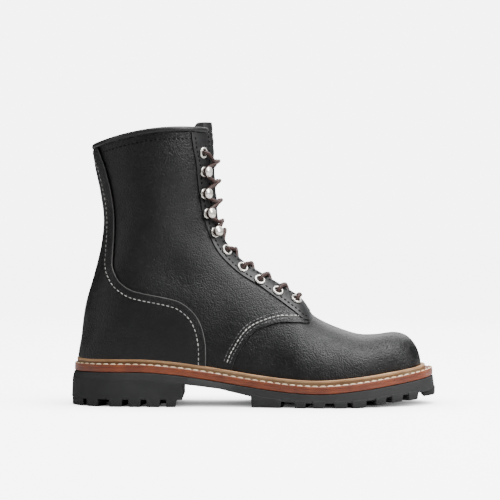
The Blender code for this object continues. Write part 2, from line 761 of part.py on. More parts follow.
def lug_block(start, end, outer_inset, inner_inset, column, low, high):
    """Points and faces of one lug at the edge of the sole, between two angle shares."""
    ring_low, ring_high = [], []
    for inset, shares in ((outer_inset, (start, (start + end) / 2, end)),
                          (inner_inset, (end, (start + end) / 2, start))):
        for t in shares:
            p = outline_pair(t, inset)[column]
            ring_low.append((p[0], p[1], low(p[0])))
            ring_high.append((p[0], p[1], high(p[0])))
    return ring_low, ring_high


def lug_set(name, blocks):
    points, faces = [], []
    for ring_low, ring_high in blocks:
        start, count = len(points), len(ring_low)
        points += ring_low + ring_high
        faces.append(tuple(range(start, start + count)))
        faces.append(tuple(range(start + count, start + 2 * count)))
        for k in range(count):
            n = (k + 1) % count
            faces.append((start + k, start + n, start + count + n, start + count + k))
    return new_solid(name, points, faces)


def share_at(x):
    return math.acos(1 - 2 * x / SOLE_LENGTH) / math.pi


# Lugs seen from the side: back and front of each as shares of the sole length, or of the
# heel's length for the heel's own, and how far each reaches in as a share of the sole width
Lug = namedtuple("Lug", "back front depth")
FOREFOOT_LUGS = (
    Lug(0.490, 0.572, 0.132),
    Lug(0.605, 0.638, 0.193),
    Lug(0.654, 0.690, 0.140),
    Lug(0.711, 0.749, 0.193),
    Lug(0.761, 0.802, 0.140),
    Lug(0.825, 0.857, 0.175),
    Lug(0.869, 0.903, 0.132),
    Lug(0.916, 0.947, 0.132),
)
CENTRE_LUGS = (
    Lug(0.512, 0.551, 0.158),
    Lug(0.623, 0.662, 0.184),
    Lug(0.731, 0.767, 0.184),
    Lug(0.826, 0.859, 0.149),
    Lug(0.915, 0.941, 0.070),
)
TOE_LUG = Lug(0.959, 1.000, 0.105)
HEEL_LUGS = (
    Lug(0.149, 0.262, 0.140),
    Lug(0.352, 0.475, 0.193),
    Lug(0.523, 0.640, 0.140),
    Lug(0.683, 0.811, 0.193),
    Lug(0.854, 0.948, 0.140),
)
HEEL_BACK_LUG = Lug(0.000, 0.133, 0.105)
HEEL_CENTRE_LUG = Lug(0.320, 0.854, 0.136)


def diamond(lug, length, low, high):
    """A four-cornered lug on the middle line."""
    back, front, side = lug.back * length, lug.front * length, lug.depth * SOLE_WIDTH
    corners = [(back, 0.0), ((back + front) / 2, -side), (front, 0.0), ((back + front) / 2, side)]
    return [(x, y, low(x)) for x, y in corners], [(x, y, high(x)) for x, y in corners]


def side_lugs(lugs, length, inset, low, high):
    """The lugs of both edges of the sole."""
    blocks = []
    for lug in lugs:
        for column in (0, 1):
            blocks.append(lug_block(share_at(lug.back * length), share_at(lug.front * length),
                                    inset, lug.depth * SOLE_WIDTH, column, low, high))
    return blocks


# Outsole: the full rubber sheet with the forefoot lugs
def lug_top(x):
    return under_sheet(x) + LUG_ROOT


outsole = deck("outsole", under_sheet, sole_top, RUBBER_DRAFT, EDGE_SET)
blocks = side_lugs(FOREFOOT_LUGS, SOLE_LENGTH, GAP, ground_line, lug_top)
for lug in CENTRE_LUGS:
    blocks.append(diamond(lug, SOLE_LENGTH, ground_line, lug_top))
front = [outline_pair(t, GAP) for t in (0.945, 0.965, 0.985, 1.0)]
ring = [tuple(p[0]) for p in front] + [tuple(p[1]) for p in front[-2::-1]]
ring += [(TOE_LUG.back * SOLE_LENGTH, TOE_LUG.depth * SOLE_WIDTH), (TOE_LUG.back * SOLE_LENGTH, 0.0)]
blocks.append(([(x, y, ground_line(x)) for x, y in ring], [(x, y, lug_top(x)) for x, y in ring]))
outsole = join(outsole, lug_set("lugs", blocks))
finish(outsole, RUBBER, 0.6, 0.0, 35)


# Heel: a rubber block under the sheet with its own lugs and a stepped breast
def heel_floor(x):
    return 0.0


def heel_root(x):
    return HEEL_LUG_DEPTH + LUG_ROOT


heel = deck("heel", lambda x: HEEL_LUG_DEPTH, lambda x: under_sheet(x) - GAP, GAP, HEEL_DRAFT,
            0.0, share_at(HEEL_BREAST), 22)
blocks = side_lugs(HEEL_LUGS, HEEL_BREAST, 0.0, heel_floor, heel_root)
blocks.append(diamond(HEEL_CENTRE_LUG, HEEL_BREAST, heel_floor, heel_root))
back = [outline_pair(t, 0.0) for t in (0.0, 0.05, 0.095, 0.125)]
ring = [tuple(p[0]) for p in back[::-1]] + [tuple(p[1]) for p in back[1:]]
lug_front, lug_side = HEEL_BACK_LUG.front * HEEL_BREAST, HEEL_BACK_LUG.depth * SOLE_WIDTH
ring += [(lug_front, lug_side), (lug_front, -lug_side)]
blocks.append(([(x, y, 0.0) for x, y in ring], [(x, y, heel_root(x)) for x, y in ring]))
heel = join(heel, lug_set("heel lugs", blocks))
finish(heel, RUBBER, 0.6, 0.0, 35)

# Eyelets and hooks, seated a gap above the eyestay
for number, kind, side, place, spot, out, ahead, inward in fittings:
    name = kind + "_" + side + "_" + str(number + 1)
    if kind == "eyelet":
        barrel = -EYESTAY - GAP - UPPER_WALL + 0.0008
        profile = [(EYELET_HOLE, barrel), (EYELET_BARREL, barrel), (EYELET_BARREL, GAP),
                   (EYELET_RADIUS, GAP), (EYELET_RADIUS - 0.0004, 0.0009),
                   (EYELET_RADIUS - 0.0012, 0.0012), (EYELET_HOLE, 0.0006)]
        ring = turned(name, profile, spot, out, ahead)
    else:
        profile = [(EYELET_RADIUS - 0.0005, GAP), (EYELET_RADIUS - 0.0007, 0.0009),
                   (HOOK_STEM, 0.0012), (HOOK_STEM, HOOK_HEIGHT - 0.0020),
                   (HOOK_CAP, HOOK_HEIGHT - 0.0018), (HOOK_CAP * 0.93, HOOK_HEIGHT - 0.0008),
                   (HOOK_CAP * 0.55, HOOK_HEIGHT)]
        ring = round_solid(name, profile, spot, out, ahead)
    finish(ring, NICKEL, 0.3, 1.0, 50)

# Laces: each crossing is two cords joined at the middle of the throat
by_side = {(f[0], f[2]): f for f in fittings}
over_edge = EYESTAY + GAP + LACE_RADIUS + 0.0009
lace_floor = TONGUE_BULGE - TONGUE_DROP - UPPER_WALL + LACE_RADIUS + 0.0003
for level in range(len(LACE_POINTS) - 1):
    name = "lace_crossing_" + str(level + 1)
    last_level = level + 2 == len(LACE_POINTS)
    cords = []
    for side, other, turn, lift in (("outer", "inner", -1, 0.0), ("inner", "outer", 1, 0.0016)):
        _, kind, _, place, spot, out, ahead, inward = by_side[(level, side)]
        if kind == "eyelet":
            points = [spot + out * EYELET_LACE,
                      spot + out * EYELET_LACE + ahead * 0.0010 + inward * 0.0028]
            place += 0.15
        else:
            points = [spot + out * HOOK_LACE + ahead * 0.0035 - inward * 0.0036,
                      spot + out * HOOK_LACE + ahead * 0.0037]
            place += 0.35
        points.append(skin(place, angle_at(place, turn * throat_half(place)), over_edge))
        _, kind, _, end_place, spot, out, ahead, inward = by_side[(level + 1, other)]
        middle = (by_side[(level, side)][3] + end_place) / 2
        points.append(skin(middle, 0.0, lace_floor + 0.0008 + lift))
        if kind == "eyelet" and not last_level:
            place = end_place - 0.15
            y = -turn * (throat_half(place) - 0.0026)
            points.append(skin(place, angle_at(place, y), lace_floor - 0.0010))
        else:
            place = end_place - 0.35
            points.append(skin(place, angle_at(place, -turn * throat_half(place)), over_edge))
        if kind == "hook":
            points += [spot + out * HOOK_LACE - ahead * 0.0037,
                       spot + out * HOOK_LACE - ahead * 0.0035 - inward * 0.0036]
        elif last_level:
            points += [spot + out * EYELET_LACE - ahead * 0.0010 + inward * 0.0028,
                       spot + out * EYELET_LACE]
        cords.append(tube(name, cord_path(points), LACE_RADIUS))
    crossing = join(cords[0], cords[1])
    crossing.name = name
    finish(crossing, LACE, 0.7, 0.0, 60)
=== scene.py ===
import math
from collections import namedtuple

import bpy
import numpy as np
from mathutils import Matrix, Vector


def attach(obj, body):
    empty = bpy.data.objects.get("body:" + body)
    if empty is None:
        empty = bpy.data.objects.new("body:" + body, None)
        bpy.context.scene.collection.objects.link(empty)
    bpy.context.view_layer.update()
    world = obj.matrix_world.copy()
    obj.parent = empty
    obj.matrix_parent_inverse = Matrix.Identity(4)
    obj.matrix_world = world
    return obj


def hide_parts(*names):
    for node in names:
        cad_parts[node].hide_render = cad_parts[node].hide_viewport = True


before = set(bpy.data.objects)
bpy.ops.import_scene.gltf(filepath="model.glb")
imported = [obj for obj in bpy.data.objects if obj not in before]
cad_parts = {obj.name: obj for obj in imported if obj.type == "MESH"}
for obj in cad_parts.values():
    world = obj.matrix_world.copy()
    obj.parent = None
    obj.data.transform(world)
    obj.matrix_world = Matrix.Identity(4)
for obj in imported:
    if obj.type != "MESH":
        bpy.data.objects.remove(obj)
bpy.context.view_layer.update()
bpy.ops.object.select_all(action="DESELECT")


# Studio
# A pale seamless floor and backdrop, a broad soft light overhead, one from the front of the
# toe, a weak one from behind the heel and one from the far side, and a long lens square to
# the outer side.

backdrop_glow = 6.2
floor_glow = 6.05
room_light = 0.07


def add(tree, kind, **settings):
    """Adds a shader node, with its attributes and plain input values."""
    node = tree.nodes.new("ShaderNode" + kind)
    for key, value in settings.items():
        if hasattr(node, key):
            setattr(node, key, value)
        else:
            node.inputs[key.replace("_", " ")].default_value = value
    return node


def math_node(tree, operation, *values):
    """Adds a Math node: each value is a number or a socket."""
    node = add(tree, "Math", operation=operation)
    for socket, value in zip(node.inputs, values):
        if isinstance(value, (int, float)):
            socket.default_value = value
        else:
            tree.links.new(value, socket)
    return node.outputs[0]


def new_finish(name, **values):
    """A new material, its nodes and its shader, with plain values set on the shader."""
    material = bpy.data.materials.new(name)
    material.use_nodes = True
    shader = material.node_tree.nodes["Principled BSDF"]
    for key, value in values.items():
        shader.inputs[key.replace("_", " ")].default_value = value
    return material, material.node_tree, shader


bpy.ops.mesh.primitive_plane_add(size=30, location=(0, 0, 0))
floor = bpy.context.object
floor.name = "floor"
floor_finish, floor_tree, floor_shader = new_finish(
    "floor_finish", Base_Color=(0.55, 0.55, 0.55, 1), Roughness=0.9, Specular_IOR_Level=0.1)
floor_path = add(floor_tree, "LightPath")
floor_seen = math_node(floor_tree, "MULTIPLY", floor_path.outputs["Is Camera Ray"], floor_glow)
floor_tree.links.new(floor_seen, floor_shader.inputs["Emission Strength"])
# The floor's glow is darkened close to the boot by ambient occlusion: a painted contact shadow
# under the boot.
floor_painted_shadow = add(floor_tree, "AmbientOcclusion", samples=16, Distance=0.07)
floor_tree.links.new(floor_painted_shadow.outputs["Color"], floor_shader.inputs["Emission Color"])
floor.data.materials.append(floor_finish)

world = bpy.data.worlds.new("studio")
bpy.context.scene.world = world
world.use_nodes = True
room = world.node_tree
room.nodes["Background"].inputs["Color"].default_value = (1, 1, 1, 1)
room_path = add(room, "LightPath")
room_seen = math_node(room, "MULTIPLY_ADD", room_path.outputs["Is Camera Ray"],
                      backdrop_glow - room_light, room_light)
room.links.new(room_seen, room.nodes["Background"].inputs["Strength"])


def soft_light(name, place, aim, width, height, power):
    bpy.ops.object.light_add(type="AREA", location=place)
    light = bpy.context.object
    light.name = name
    light.data.shape = "RECTANGLE"
    light.data.size = width
    light.data.size_y = height
    light.data.energy = power
    light.rotation_euler = (Vector(aim) - Vector(place)).to_track_quat("-Z", "Y").to_euler()


soft_light("top_light", (0.30, -0.15, 1.20), (0.02, 0.0, 0.05), 0.8, 0.7, 30)
soft_light("front_light", (1.05, -0.60, 0.85), (0.05, 0.0, 0.08), 0.5, 0.8, 26)
soft_light("heel_light", (-1.15, -0.35, 0.55), (-0.10, 0.0, 0.10), 0.5, 0.8, 5)
soft_light("far_light", (0.30, 1.30, 0.80), (0.0, 0.0, 0.10), 0.9, 0.9, 9)

camera_far = 1.70
camera_high = 0.140
view_middle = -0.0033
view_height = 0.1283
view_width = 0.419
bpy.ops.object.camera_add(location=(view_middle, -camera_far, camera_high))
camera = bpy.context.object
camera.data.sensor_width = 36
camera.data.lens = 36 * camera_far / view_width
camera.data.shift_y = (view_height - camera_high) / view_width
camera.rotation_euler = (math.radians(90), 0, 0)
bpy.context.scene.camera = camera


# Upper: vamp and quarters
# Black pebbled leather pulled over a last. The vamp and its lining are one wall all round,
# the quarters lie over it in a second layer with cut, rounded edges, stitched down in rows.

sole_length = 0.305
sole_width = 0.114
foot_length = 0.2832
ball_width = 0.100
instep_height = 0.121
shaft_height = 0.084
heel_set = 0.0101
ball_rubber = 0.011
heel_rise = 0.017
toe_rise = 0.0115
midsole_thick = 0.0037
gap = 0.0003
feather = gap + midsole_thick + gap
middle = sole_length / 2

# The last's sections are ovals between a ridge point at the front and a base point at the
# underside or the back, in shares of the foot length, the instep and shaft heights and the
# ball width.
Section = namedtuple("Section", "name ridge ridge_up base base_up outer inner widest "
                                "crown_round base_round swing bow")
last_sections = [Section(*row) for row in (
    ("under toe", 0.981, -0.127, 0.911, -0.214, 0.300, 0.300, 0.42, 2.00, 2.00, 0.055, 0.000),
    ("toe edge", 1.000, 0.014, 0.904, -0.212, 0.310, 0.310, 0.35, 2.05, 2.00, 0.055, 0.000),
    ("toe face", 0.998, 0.114, 0.897, -0.209, 0.335, 0.335, 0.45, 2.10, 2.00, 0.054, 0.000),
    ("toe brow", 0.982, 0.209, 0.888, -0.206, 0.355, 0.355, 0.50, 2.20, 2.00, 0.052, 0.000),
    ("toe crown", 0.955, 0.282, 0.875, -0.202, 0.375, 0.375, 0.54, 2.30, 2.10, 0.048, 0.000),
    ("toe top", 0.918, 0.318, 0.859, -0.196, 0.405, 0.405, 0.54, 2.35, 2.20, 0.042, 0.000),
    ("vamp dip", 0.865, 0.323, 0.833, -0.188, 0.445, 0.445, 0.51, 2.30, 2.30, 0.032, 0.000),
    ("vamp", 0.815, 0.340, 0.796, -0.178, 0.475, 0.475, 0.47, 2.20, 2.40, 0.020, 0.000),
    ("inner ball", 0.762, 0.389, 0.748, -0.150, 0.493, 0.498, 0.40, 2.05, 2.40, 0.010, 0.000),
    ("ball", 0.713, 0.446, 0.692, -0.151, 0.503, 0.503, 0.36, 1.95, 2.40, 0.002, 0.000),
    ("outer ball", 0.672, 0.509, 0.635, -0.155, 0.493, 0.475, 0.33, 1.85, 2.40, -0.003, 0.000),
    ("throat", 0.639, 0.606, 0.579, -0.158, 0.465, 0.435, 0.31, 1.80, 2.40, -0.005, 0.000),
    ("waist", 0.586, 0.682, 0.508, -0.164, 0.428, 0.388, 0.31, 1.80, 2.40, -0.006, 0.000),
    ("arch", 0.529, 0.751, 0.416, -0.173, 0.396, 0.346, 0.33, 1.85, 2.50, -0.006, 0.000),
    ("instep", 0.476, 0.820, 0.310, -0.179, 0.378, 0.344, 0.36, 1.90, 2.50, -0.004, 0.000),
    ("low ankle", 0.434, 0.912, 0.190, -0.166, 0.378, 0.360, 0.40, 1.95, 2.60, -0.002, 0.000),
    ("ankle", 0.406, 1.036, 0.063, -0.135, 0.382, 0.376, 0.44, 2.00, 2.50, 0.000, 0.000),
    ("heel corner", 0.392, 1.201, -0.007, -0.019, 0.385, 0.383, 0.47, 2.05, 2.35, 0.000, 0.000),
    ("heel", 0.386, 1.353, 0.000, 0.212, 0.385, 0.385, 0.48, 2.10, 2.20, 0.000, 0.000),
    ("counter", 0.383, 1.494, 0.012, 0.419, 0.388, 0.388, 0.49, 2.10, 2.15, 0.000, 0.000),
    ("achilles", 0.381, 1.624, 0.038, 0.634, 0.395, 0.395, 0.50, 2.10, 2.10, 0.000, 0.000),
    ("low shaft", 0.380, 1.736, 0.058, 0.832, 0.405, 0.405, 0.50, 2.10, 2.10, 0.000, 0.000),
    ("mid shaft", 0.379, 1.825, 0.065, 1.020, 0.418, 0.418, 0.50, 2.10, 2.10, 0.000, 0.005),
    ("shaft", 0.378, 1.896, 0.055, 1.282, 0.430, 0.430, 0.50, 2.10, 2.10, 0.000, 0.016),
    ("high shaft", 0.376, 1.948, 0.040, 1.520, 0.440, 0.440, 0.50, 2.10, 2.10, 0.000, 0.032),
    ("collar", 0.375, 1.989, 0.030, 1.752, 0.448, 0.448, 0.50, 2.10, 2.10, 0.000, 0.048),
    ("over collar", 0.373, 2.131, 0.026, 1.937, 0.456, 0.456, 0.50, 2.10, 2.10, 0.000, 0.048),
)]
section_values = np.array([s[1:] for s in last_sections])
collar_row = 25
collar_points = 41
normal_reach = 0.15
normal_turn = 0.12
tiny = 1e-9


def smooth_rows(rows, place):
    """Values of a table at places between its rows, on a smooth line."""
    top = len(rows) - 1
    place = np.asarray(place, float)
    row = np.clip(place.astype(int), 0, top - 1)
    t = (place - row)[..., None]
    a, b, c, d = (rows[np.clip(row + k, 0, top)] for k in (-1, 0, 1, 2))
    return 0.5 * (2 * b + (c - a) * t + (2 * a - 5 * b + 4 * c - d) * t ** 2
                  + (3 * b - a - 3 * c + d) * t ** 3)


def rubber_top(x):
    """Height of the rubber's top face at a length from the back of the sole."""
    along = (np.asarray(x) - heel_set) / foot_length
    t = np.clip((along - 0.15) / 0.54, 0, 1)
    toe = np.clip((along - 0.69) / 0.318, 0, None) ** 1.5
    return ball_rubber + heel_rise * (1 - t * t * (3 - 2 * t)) + toe_rise * toe


def side_place(along, up):
    """Length and height of a point given in shares."""
    x = heel_set + np.asarray(along) * foot_length
    up = np.asarray(up)
    height = np.where(up < 1, up * instep_height, instep_height + (up - 1) * shaft_height)
    return x, rubber_top(x) + feather + height


def last_point(place, angle):
    """Point of the last: angle 0 on the ridge, a quarter turn on the outer side."""
    place, angle = np.broadcast_arrays(np.asarray(place, float), np.asarray(angle, float))
    s = smooth_rows(section_values, place)
    ridge = side_place(s[..., 0], s[..., 1])
    base = side_place(s[..., 2], s[..., 3])
    half = ball_width * np.where(np.sin(angle) > 0, s[..., 4], s[..., 5])
    crown = np.cos(angle) > 0
    rounding = np.where(crown, s[..., 7], s[..., 8])
    along = np.abs(np.cos(angle)) ** (2 / rounding)
    rise = np.where(crown, s[..., 6] + (1 - s[..., 6]) * along, s[..., 6] * (1 - along))
    side = np.sign(np.sin(angle)) * np.abs(np.sin(angle)) ** (2 / rounding)
    x = base[0] + rise * (ridge[0] - base[0])
    z = base[1] + rise * (ridge[1] - base[1])
    z = z + ball_width * s[..., 10] * np.sin(np.pi * np.clip(rise, 0, 1))
    return np.stack((x, ball_width * s[..., 9] - half * side, z), axis=-1)


def unit(runs):
    return runs / np.maximum(np.linalg.norm(runs, axis=-1, keepdims=True), tiny)


def last_normal(place, angle):
    """Which way is out of the last at a place and an angle."""
    top = len(last_sections) - 1
    ahead = last_point(np.minimum(np.asarray(place) + normal_reach, top), angle)
    behind = last_point(np.maximum(np.asarray(place) - normal_reach, 0), angle)
    turn = last_point(place, angle + normal_turn) - last_point(place, angle - normal_turn)
    return unit(np.cross(ahead - behind, turn))


# Folds pressed into the leather, seen from the side: two ends, the width of the fold and how
# far it stands out, or in where it is negative.
Crease = namedtuple("Crease", "x0 z0 x1 z1 width depth")
creases = [Crease(*row) for row in (
    (0.118, 0.121, 0.186, 0.086, 0.013, 0.0011), (0.110, 0.156, 0.132, 0.112, 0.010, 0.0009),
    (0.058, 0.116, 0.110, 0.100, 0.013, -0.0013), (0.094, 0.132, 0.060, 0.152, 0.011, 0.0007),
    (0.040, 0.140, 0.075, 0.122, 0.010, 0.0006), (0.204, 0.064, 0.214, 0.040, 0.005, -0.0005),
    (0.220, 0.060, 0.231, 0.040, 0.006, 0.0004), (0.070, 0.190, 0.100, 0.176, 0.012, -0.0005),
)]


def crease_depth(points):
    """How far the folds push out the leather at points seen from the side."""
    depth = np.zeros(points.shape[:-1])
    for fold in creases:
        run = np.array((fold.x1 - fold.x0, fold.z1 - fold.z0))
        here = np.stack((points[..., 0] - fold.x0, points[..., 2] - fold.z0), axis=-1)
        share = np.clip((here @ run) / (run @ run), 0, 1)
        far = np.linalg.norm(here - share[..., None] * run, axis=-1) / fold.width
        depth += fold.depth * np.exp(-far ** 2) * (0.35 + 0.65 * np.sin(np.pi * share))
    return depth


def skin(place, angle, offset=0.0):
    """Point at an offset from the quarters' face, in the frame's own coordinates."""
    points = last_point(place, angle)
    offset = np.asarray(offset) + crease_depth(points)
    points = points + offset[..., None] * last_normal(place, angle)
    return points - np.array((middle, 0, 0))


def above_feather(points):
    return points[..., 2] - rubber_top(points[..., 0] + middle) - feather


def on_last(x, z):
    """Place and angle on the outer side of points seen from the side at x and z."""
    places = np.linspace(0, len(last_sections) - 1.001, 2600)
    s = smooth_rows(section_values, places)
    rx, rz = side_place(s[:, 0], s[:, 1])
    bx, bz = side_place(s[:, 2], s[:, 3])
    found = []
    for px, pz in zip(np.atleast_1d(x), np.atleast_1d(z)):
        bow = 0.0
        for _ in range(4):
            cross = (rx - bx) * (pz - bow - bz) - (rz - bz) * (px - bx)
            best = None
            for k in np.nonzero(cross[:-1] * cross[1:] <= 0)[0]:
                run = np.array((rx[k] - bx[k], rz[k] - bz[k]))
                rise = ((px - bx[k]) * run[0] + (pz - bow - bz[k]) * run[1]) / (run @ run)
                if best is None or abs(rise - 0.5) < abs(best[1] - 0.5):
                    part = cross[k] / (cross[k] - cross[k + 1])
                    best = (places[k] + part * (places[1] - places[0]), rise)
            v = smooth_rows(section_values, best[0])
            rise = min(max(best[1], 0.001), 0.999)
            bow = ball_width * v[10] * math.sin(math.pi * rise)
        if rise > v[6]:
            angle = math.acos(((rise - v[6]) / (1 - v[6])) ** (v[7] / 2))
        else:
            angle = math.pi - math.acos(((v[6] - rise) / v[6]) ** (v[8] / 2))
        found.append((best[0], angle))
    return np.array(found).T


EdgePoint = namedtuple("EdgePoint", "along up")
by_place, by_angle = 0, 1


def edge_line(table, count):
    """A table of edge points as a smooth line of lengths and heights, seen from the side."""
    rows = np.stack(side_place([p.along for p in table], [p.up for p in table]), axis=-1)
    return smooth_rows(rows, np.linspace(0, len(table) - 1, count))


def edge_on_last(table, count, order):
    """An edge's places and angles on the last, sorted by one of the two."""
    found = on_last(*edge_line(table, count).T)
    return found[:, np.argsort(found[order])]


def rim_place(angle, drop):
    """Place of the collar's edge at an angle, a drop below the top of the boot."""
    ring = last_point(np.full(collar_points, float(collar_row)),
                      np.linspace(0, math.pi, collar_points))
    order = np.argsort(ring[:, 0])
    xs, zs = ring[order, 0], ring[order, 2] - drop
    angle = np.asarray(angle, float)
    low, high = np.full(angle.shape, 19.0), np.full(angle.shape, 25.95)
    for _ in range(24):
        place = (low + high) / 2
        p = last_point(place, angle)
        under = p[..., 2] < np.interp(p[..., 0], xs, zs)
        low, high = np.where(under, place, low), np.where(under, high, place)
    return (low + high) / 2


throat_places = (11.0, 12.0, 14.0, 16.0, 19.0, 26.0)
throat_shares = (0.075, 0.085, 0.100, 0.115, 0.130, 0.145)
throat_end_round = 0.5
vamp_throat = 11.0
facing_throat = 9.6


def throat_half(place):
    """Half the width of the open throat."""
    return ball_width * np.interp(place, throat_places, throat_shares)


def throat_angle(place, start=facing_throat, trim=0.0):
    """Angle of the throat's edge, closing to nothing in a round end at its start."""
    s = smooth_rows(section_values, place)
    opened = np.clip((np.asarray(place) - start) / throat_end_round, 0, 1)
    half = (throat_half(place) + trim) * np.sqrt(1 - (1 - opened) ** 2)
    share = np.clip((half + ball_width * s[..., 9]) / (ball_width * s[..., 4]), 0, 0.98)
    return np.arcsin(share ** (s[..., 7] / 2)) * (opened > 0)


def round_back(edge, share):
    """Angle at a share of the way from an edge round the back to the edge's partner."""
    return edge + share * (2 * np.pi - 2 * edge)


def lay_grid(name, columns, rows, shape):
    """A grid primitive laid on the last: shape gives points for shares and an offset."""
    bpy.ops.object.select_all(action="DESELECT")
    bpy.ops.mesh.primitive_grid_add(x_subdivisions=columns, y_subdivisions=rows, size=1)
    piece = bpy.context.object
    piece.name = name
    piece.data.name = name
    shares = np.empty(len(piece.data.vertices) * 3)
    piece.data.vertices.foreach_get("co", shares)
    shares = shares.reshape(-1, 3) + 0.5
    points = shape(shares[:, 0], shares[:, 1], 0.0)
    ahead = shape(shares[:, 0], shares[:, 1], 0.0005)
    piece.data.vertices.foreach_set("co", points.ravel())
    piece.data.update()
    facing = 0.0
    for face in list(piece.data.polygons)[::37]:
        facing += face.normal.dot(Vector((ahead - points)[face.vertices[0]]))
    if facing < 0:
        piece.data.flip_normals()
    return piece


def merge_close(piece, distance=0.00001):
    """Joins a grid's sides where they meet."""
    bpy.context.view_layer.objects.active = piece
    bpy.ops.object.mode_set(mode="EDIT")
    bpy.ops.mesh.select_all(action="SELECT")
    bpy.ops.mesh.remove_doubles(threshold=distance)
    bpy.ops.object.mode_set(mode="OBJECT")


def trim_at_feather(piece):
    """Takes off what would lie under the welt and brings the edge down to one line."""
    mesh = piece.data
    points = np.empty(len(mesh.vertices) * 3)
    mesh.vertices.foreach_get("co", points)
    points = points.reshape(-1, 3)
    height = above_feather(points)
    bpy.context.view_layer.objects.active = piece
    bpy.ops.object.mode_set(mode="EDIT")
    bpy.ops.mesh.select_mode(type="FACE")
    bpy.ops.mesh.select_all(action="DESELECT")
    bpy.ops.object.mode_set(mode="OBJECT")
    for face in mesh.polygons:
        face.select = bool(height[list(face.vertices)].max() <= 0)
    bpy.ops.object.mode_set(mode="EDIT")
    bpy.ops.mesh.delete(type="FACE")
    bpy.ops.mesh.select_mode(type="VERT")
    bpy.ops.object.mode_set(mode="OBJECT")
    for vertex in mesh.vertices:
        low = rubber_top(vertex.co.x + middle) + feather
        vertex.co.z = max(vertex.co.z, low)


def soften_edges(piece, width, sharper_than):
    """Rounds the edges that are sharper than an angle."""
    soft = piece.modifiers.new("soft_edge", "BEVEL")
    soft.width = width
    soft.segments = 2
    soft.limit_method = "ANGLE"
    soft.angle_limit = math.radians(sharper_than)


def apply_all(piece):
    """Applies the modifiers of a piece in their order."""
    bpy.context.view_layer.objects.active = piece
    for modifier in list(piece.modifiers):
        bpy.ops.object.modifier_apply(modifier=modifier.name)


def thicken(piece, thick, edge_round=0.0):
    """Gives a sheet its thickness inwards and rounds its cut edges."""
    wall = piece.modifiers.new("wall", "SOLIDIFY")
    wall.thickness = thick
    wall.offset = -1
    if edge_round:
        soften_edges(piece, edge_round, 60)
    apply_all(piece)


def finish_piece(piece, material, nodes=(), angle=40):
    """Shading, material and place in the frame of one finished piece."""
    bpy.ops.object.select_all(action="DESELECT")
    piece.select_set(True)
    bpy.context.view_layer.objects.active = piece
    bpy.ops.object.shade_smooth_by_angle(angle=math.radians(angle))
    piece.data.materials.clear()
    piece.data.materials.append(material)
    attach(piece, "root")
    if nodes:
        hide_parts(*nodes)


def node_group(name, inputs, outputs):
    """A shader node group with named number inputs and outputs."""
    group = bpy.data.node_groups.new(name, "ShaderNodeTree")
    for socket, value in inputs:
        made = group.interface.new_socket(socket, in_out="INPUT", socket_type="NodeSocketFloat")
        made.default_value = value
    for socket in outputs:
        group.interface.new_socket(socket, in_out="OUTPUT", socket_type="NodeSocketFloat")
    return group, group.nodes.new("NodeGroupInput"), group.nodes.new("NodeGroupOutput")


def noise(tree, place, scale, detail, rough=0.5):
    """Noise on a coordinate socket."""
    node = add(tree, "TexNoise", Scale=scale, Detail=detail, Roughness=rough)
    tree.links.new(place, node.inputs["Vector"])
    return node.outputs["Fac"]


def gloss_by(tree, shader, mask, change, base):
    """Roughness that changes with a mask from a base value."""
    rough = math_node(tree, "MULTIPLY_ADD", mask, change, base)
    tree.links.new(rough, shader.inputs["Roughness"])


def bump_by(tree, shader, height, depth, strength=1.0):
    """Relief of a given depth, in metres."""
    bump = add(tree, "Bump", Strength=strength, Distance=depth)
    tree.links.new(height, bump.inputs["Height"])
    tree.links.new(bump.outputs["Normal"], shader.inputs["Normal"])


def hide_grain():
    """Leather's surface: rounded pebbles of uneven size, fine pores and broad undulation."""
    group, given, out = node_group("hide grain", (("Pebble Scale", 800.0), ("Pores", 0.3)),
                                   ("Height", "Tone"))
    links = group.links
    place = add(group, "TexCoord").outputs["Object"]
    warp = add(group, "TexNoise", Scale=260.0, Detail=2.0)
    links.new(place, warp.inputs["Vector"])
    shift = add(group, "VectorMath", operation="SCALE", Scale=0.0016)
    links.new(warp.outputs["Color"], shift.inputs[0])
    moved = add(group, "VectorMath", operation="ADD")
    links.new(place, moved.inputs[0])
    links.new(shift.outputs[0], moved.inputs[1])
    pebble = add(group, "TexVoronoi", feature="SMOOTH_F1", Smoothness=0.35, Randomness=1.0)
    links.new(moved.outputs[0], pebble.inputs["Vector"])
    links.new(given.outputs["Pebble Scale"], pebble.inputs["Scale"])
    crack = noise(group, place, 1500.0, 3.0, 0.6)
    broad = noise(group, place, 38.0, 2.0)
    dome = math_node(group, "POWER", pebble.outputs["Distance"], 1.6)
    patch = math_node(group, "MULTIPLY_ADD", broad, 1.1, 0.35)
    dome = math_node(group, "MULTIPLY", dome, patch)
    pores = math_node(group, "MULTIPLY", crack, given.outputs["Pores"])
    links.new(math_node(group, "SUBTRACT", pores, dome), out.inputs["Height"])
    links.new(broad, out.inputs["Tone"])
    return group


grain = hide_grain()


def leather(name, dark, light, pebble, pores, depth, rough, coat):
    """A leather finish: dark and light tone, grain size and depth, roughness and coat."""
    material, tree, shader = new_finish(name, Coat_Weight=coat, Coat_Roughness=0.35,
                                        Specular_IOR_Level=0.30)
    hide = add(tree, "Group")
    hide.node_tree = grain
    hide.inputs["Pebble Scale"].default_value = pebble
    hide.inputs["Pores"].default_value = pores
    tone = add(tree, "Mix", data_type="RGBA")
    ends = {"A": (*dark, 1), "B": (*light, 1)}
    for socket in tone.inputs:
        if socket.type == "RGBA":
            socket.default_value = ends[socket.name]
    tree.links.new(hide.outputs["Tone"], tone.inputs[0])
    colour = [socket for socket in tone.outputs if socket.type == "RGBA"][0]
    tree.links.new(colour, shader.inputs["Base Color"])
    gloss_by(tree, shader, hide.outputs["Height"], -0.18, rough)
    bump_by(tree, shader, hide.outputs["Height"], depth)
    return material


black_grain = leather("black_grain_leather", (0.0008, 0.0009, 0.0010), (0.0032, 0.0034, 0.0037),
                      860.0, 0.45, 0.00046, 0.38, 0.04)

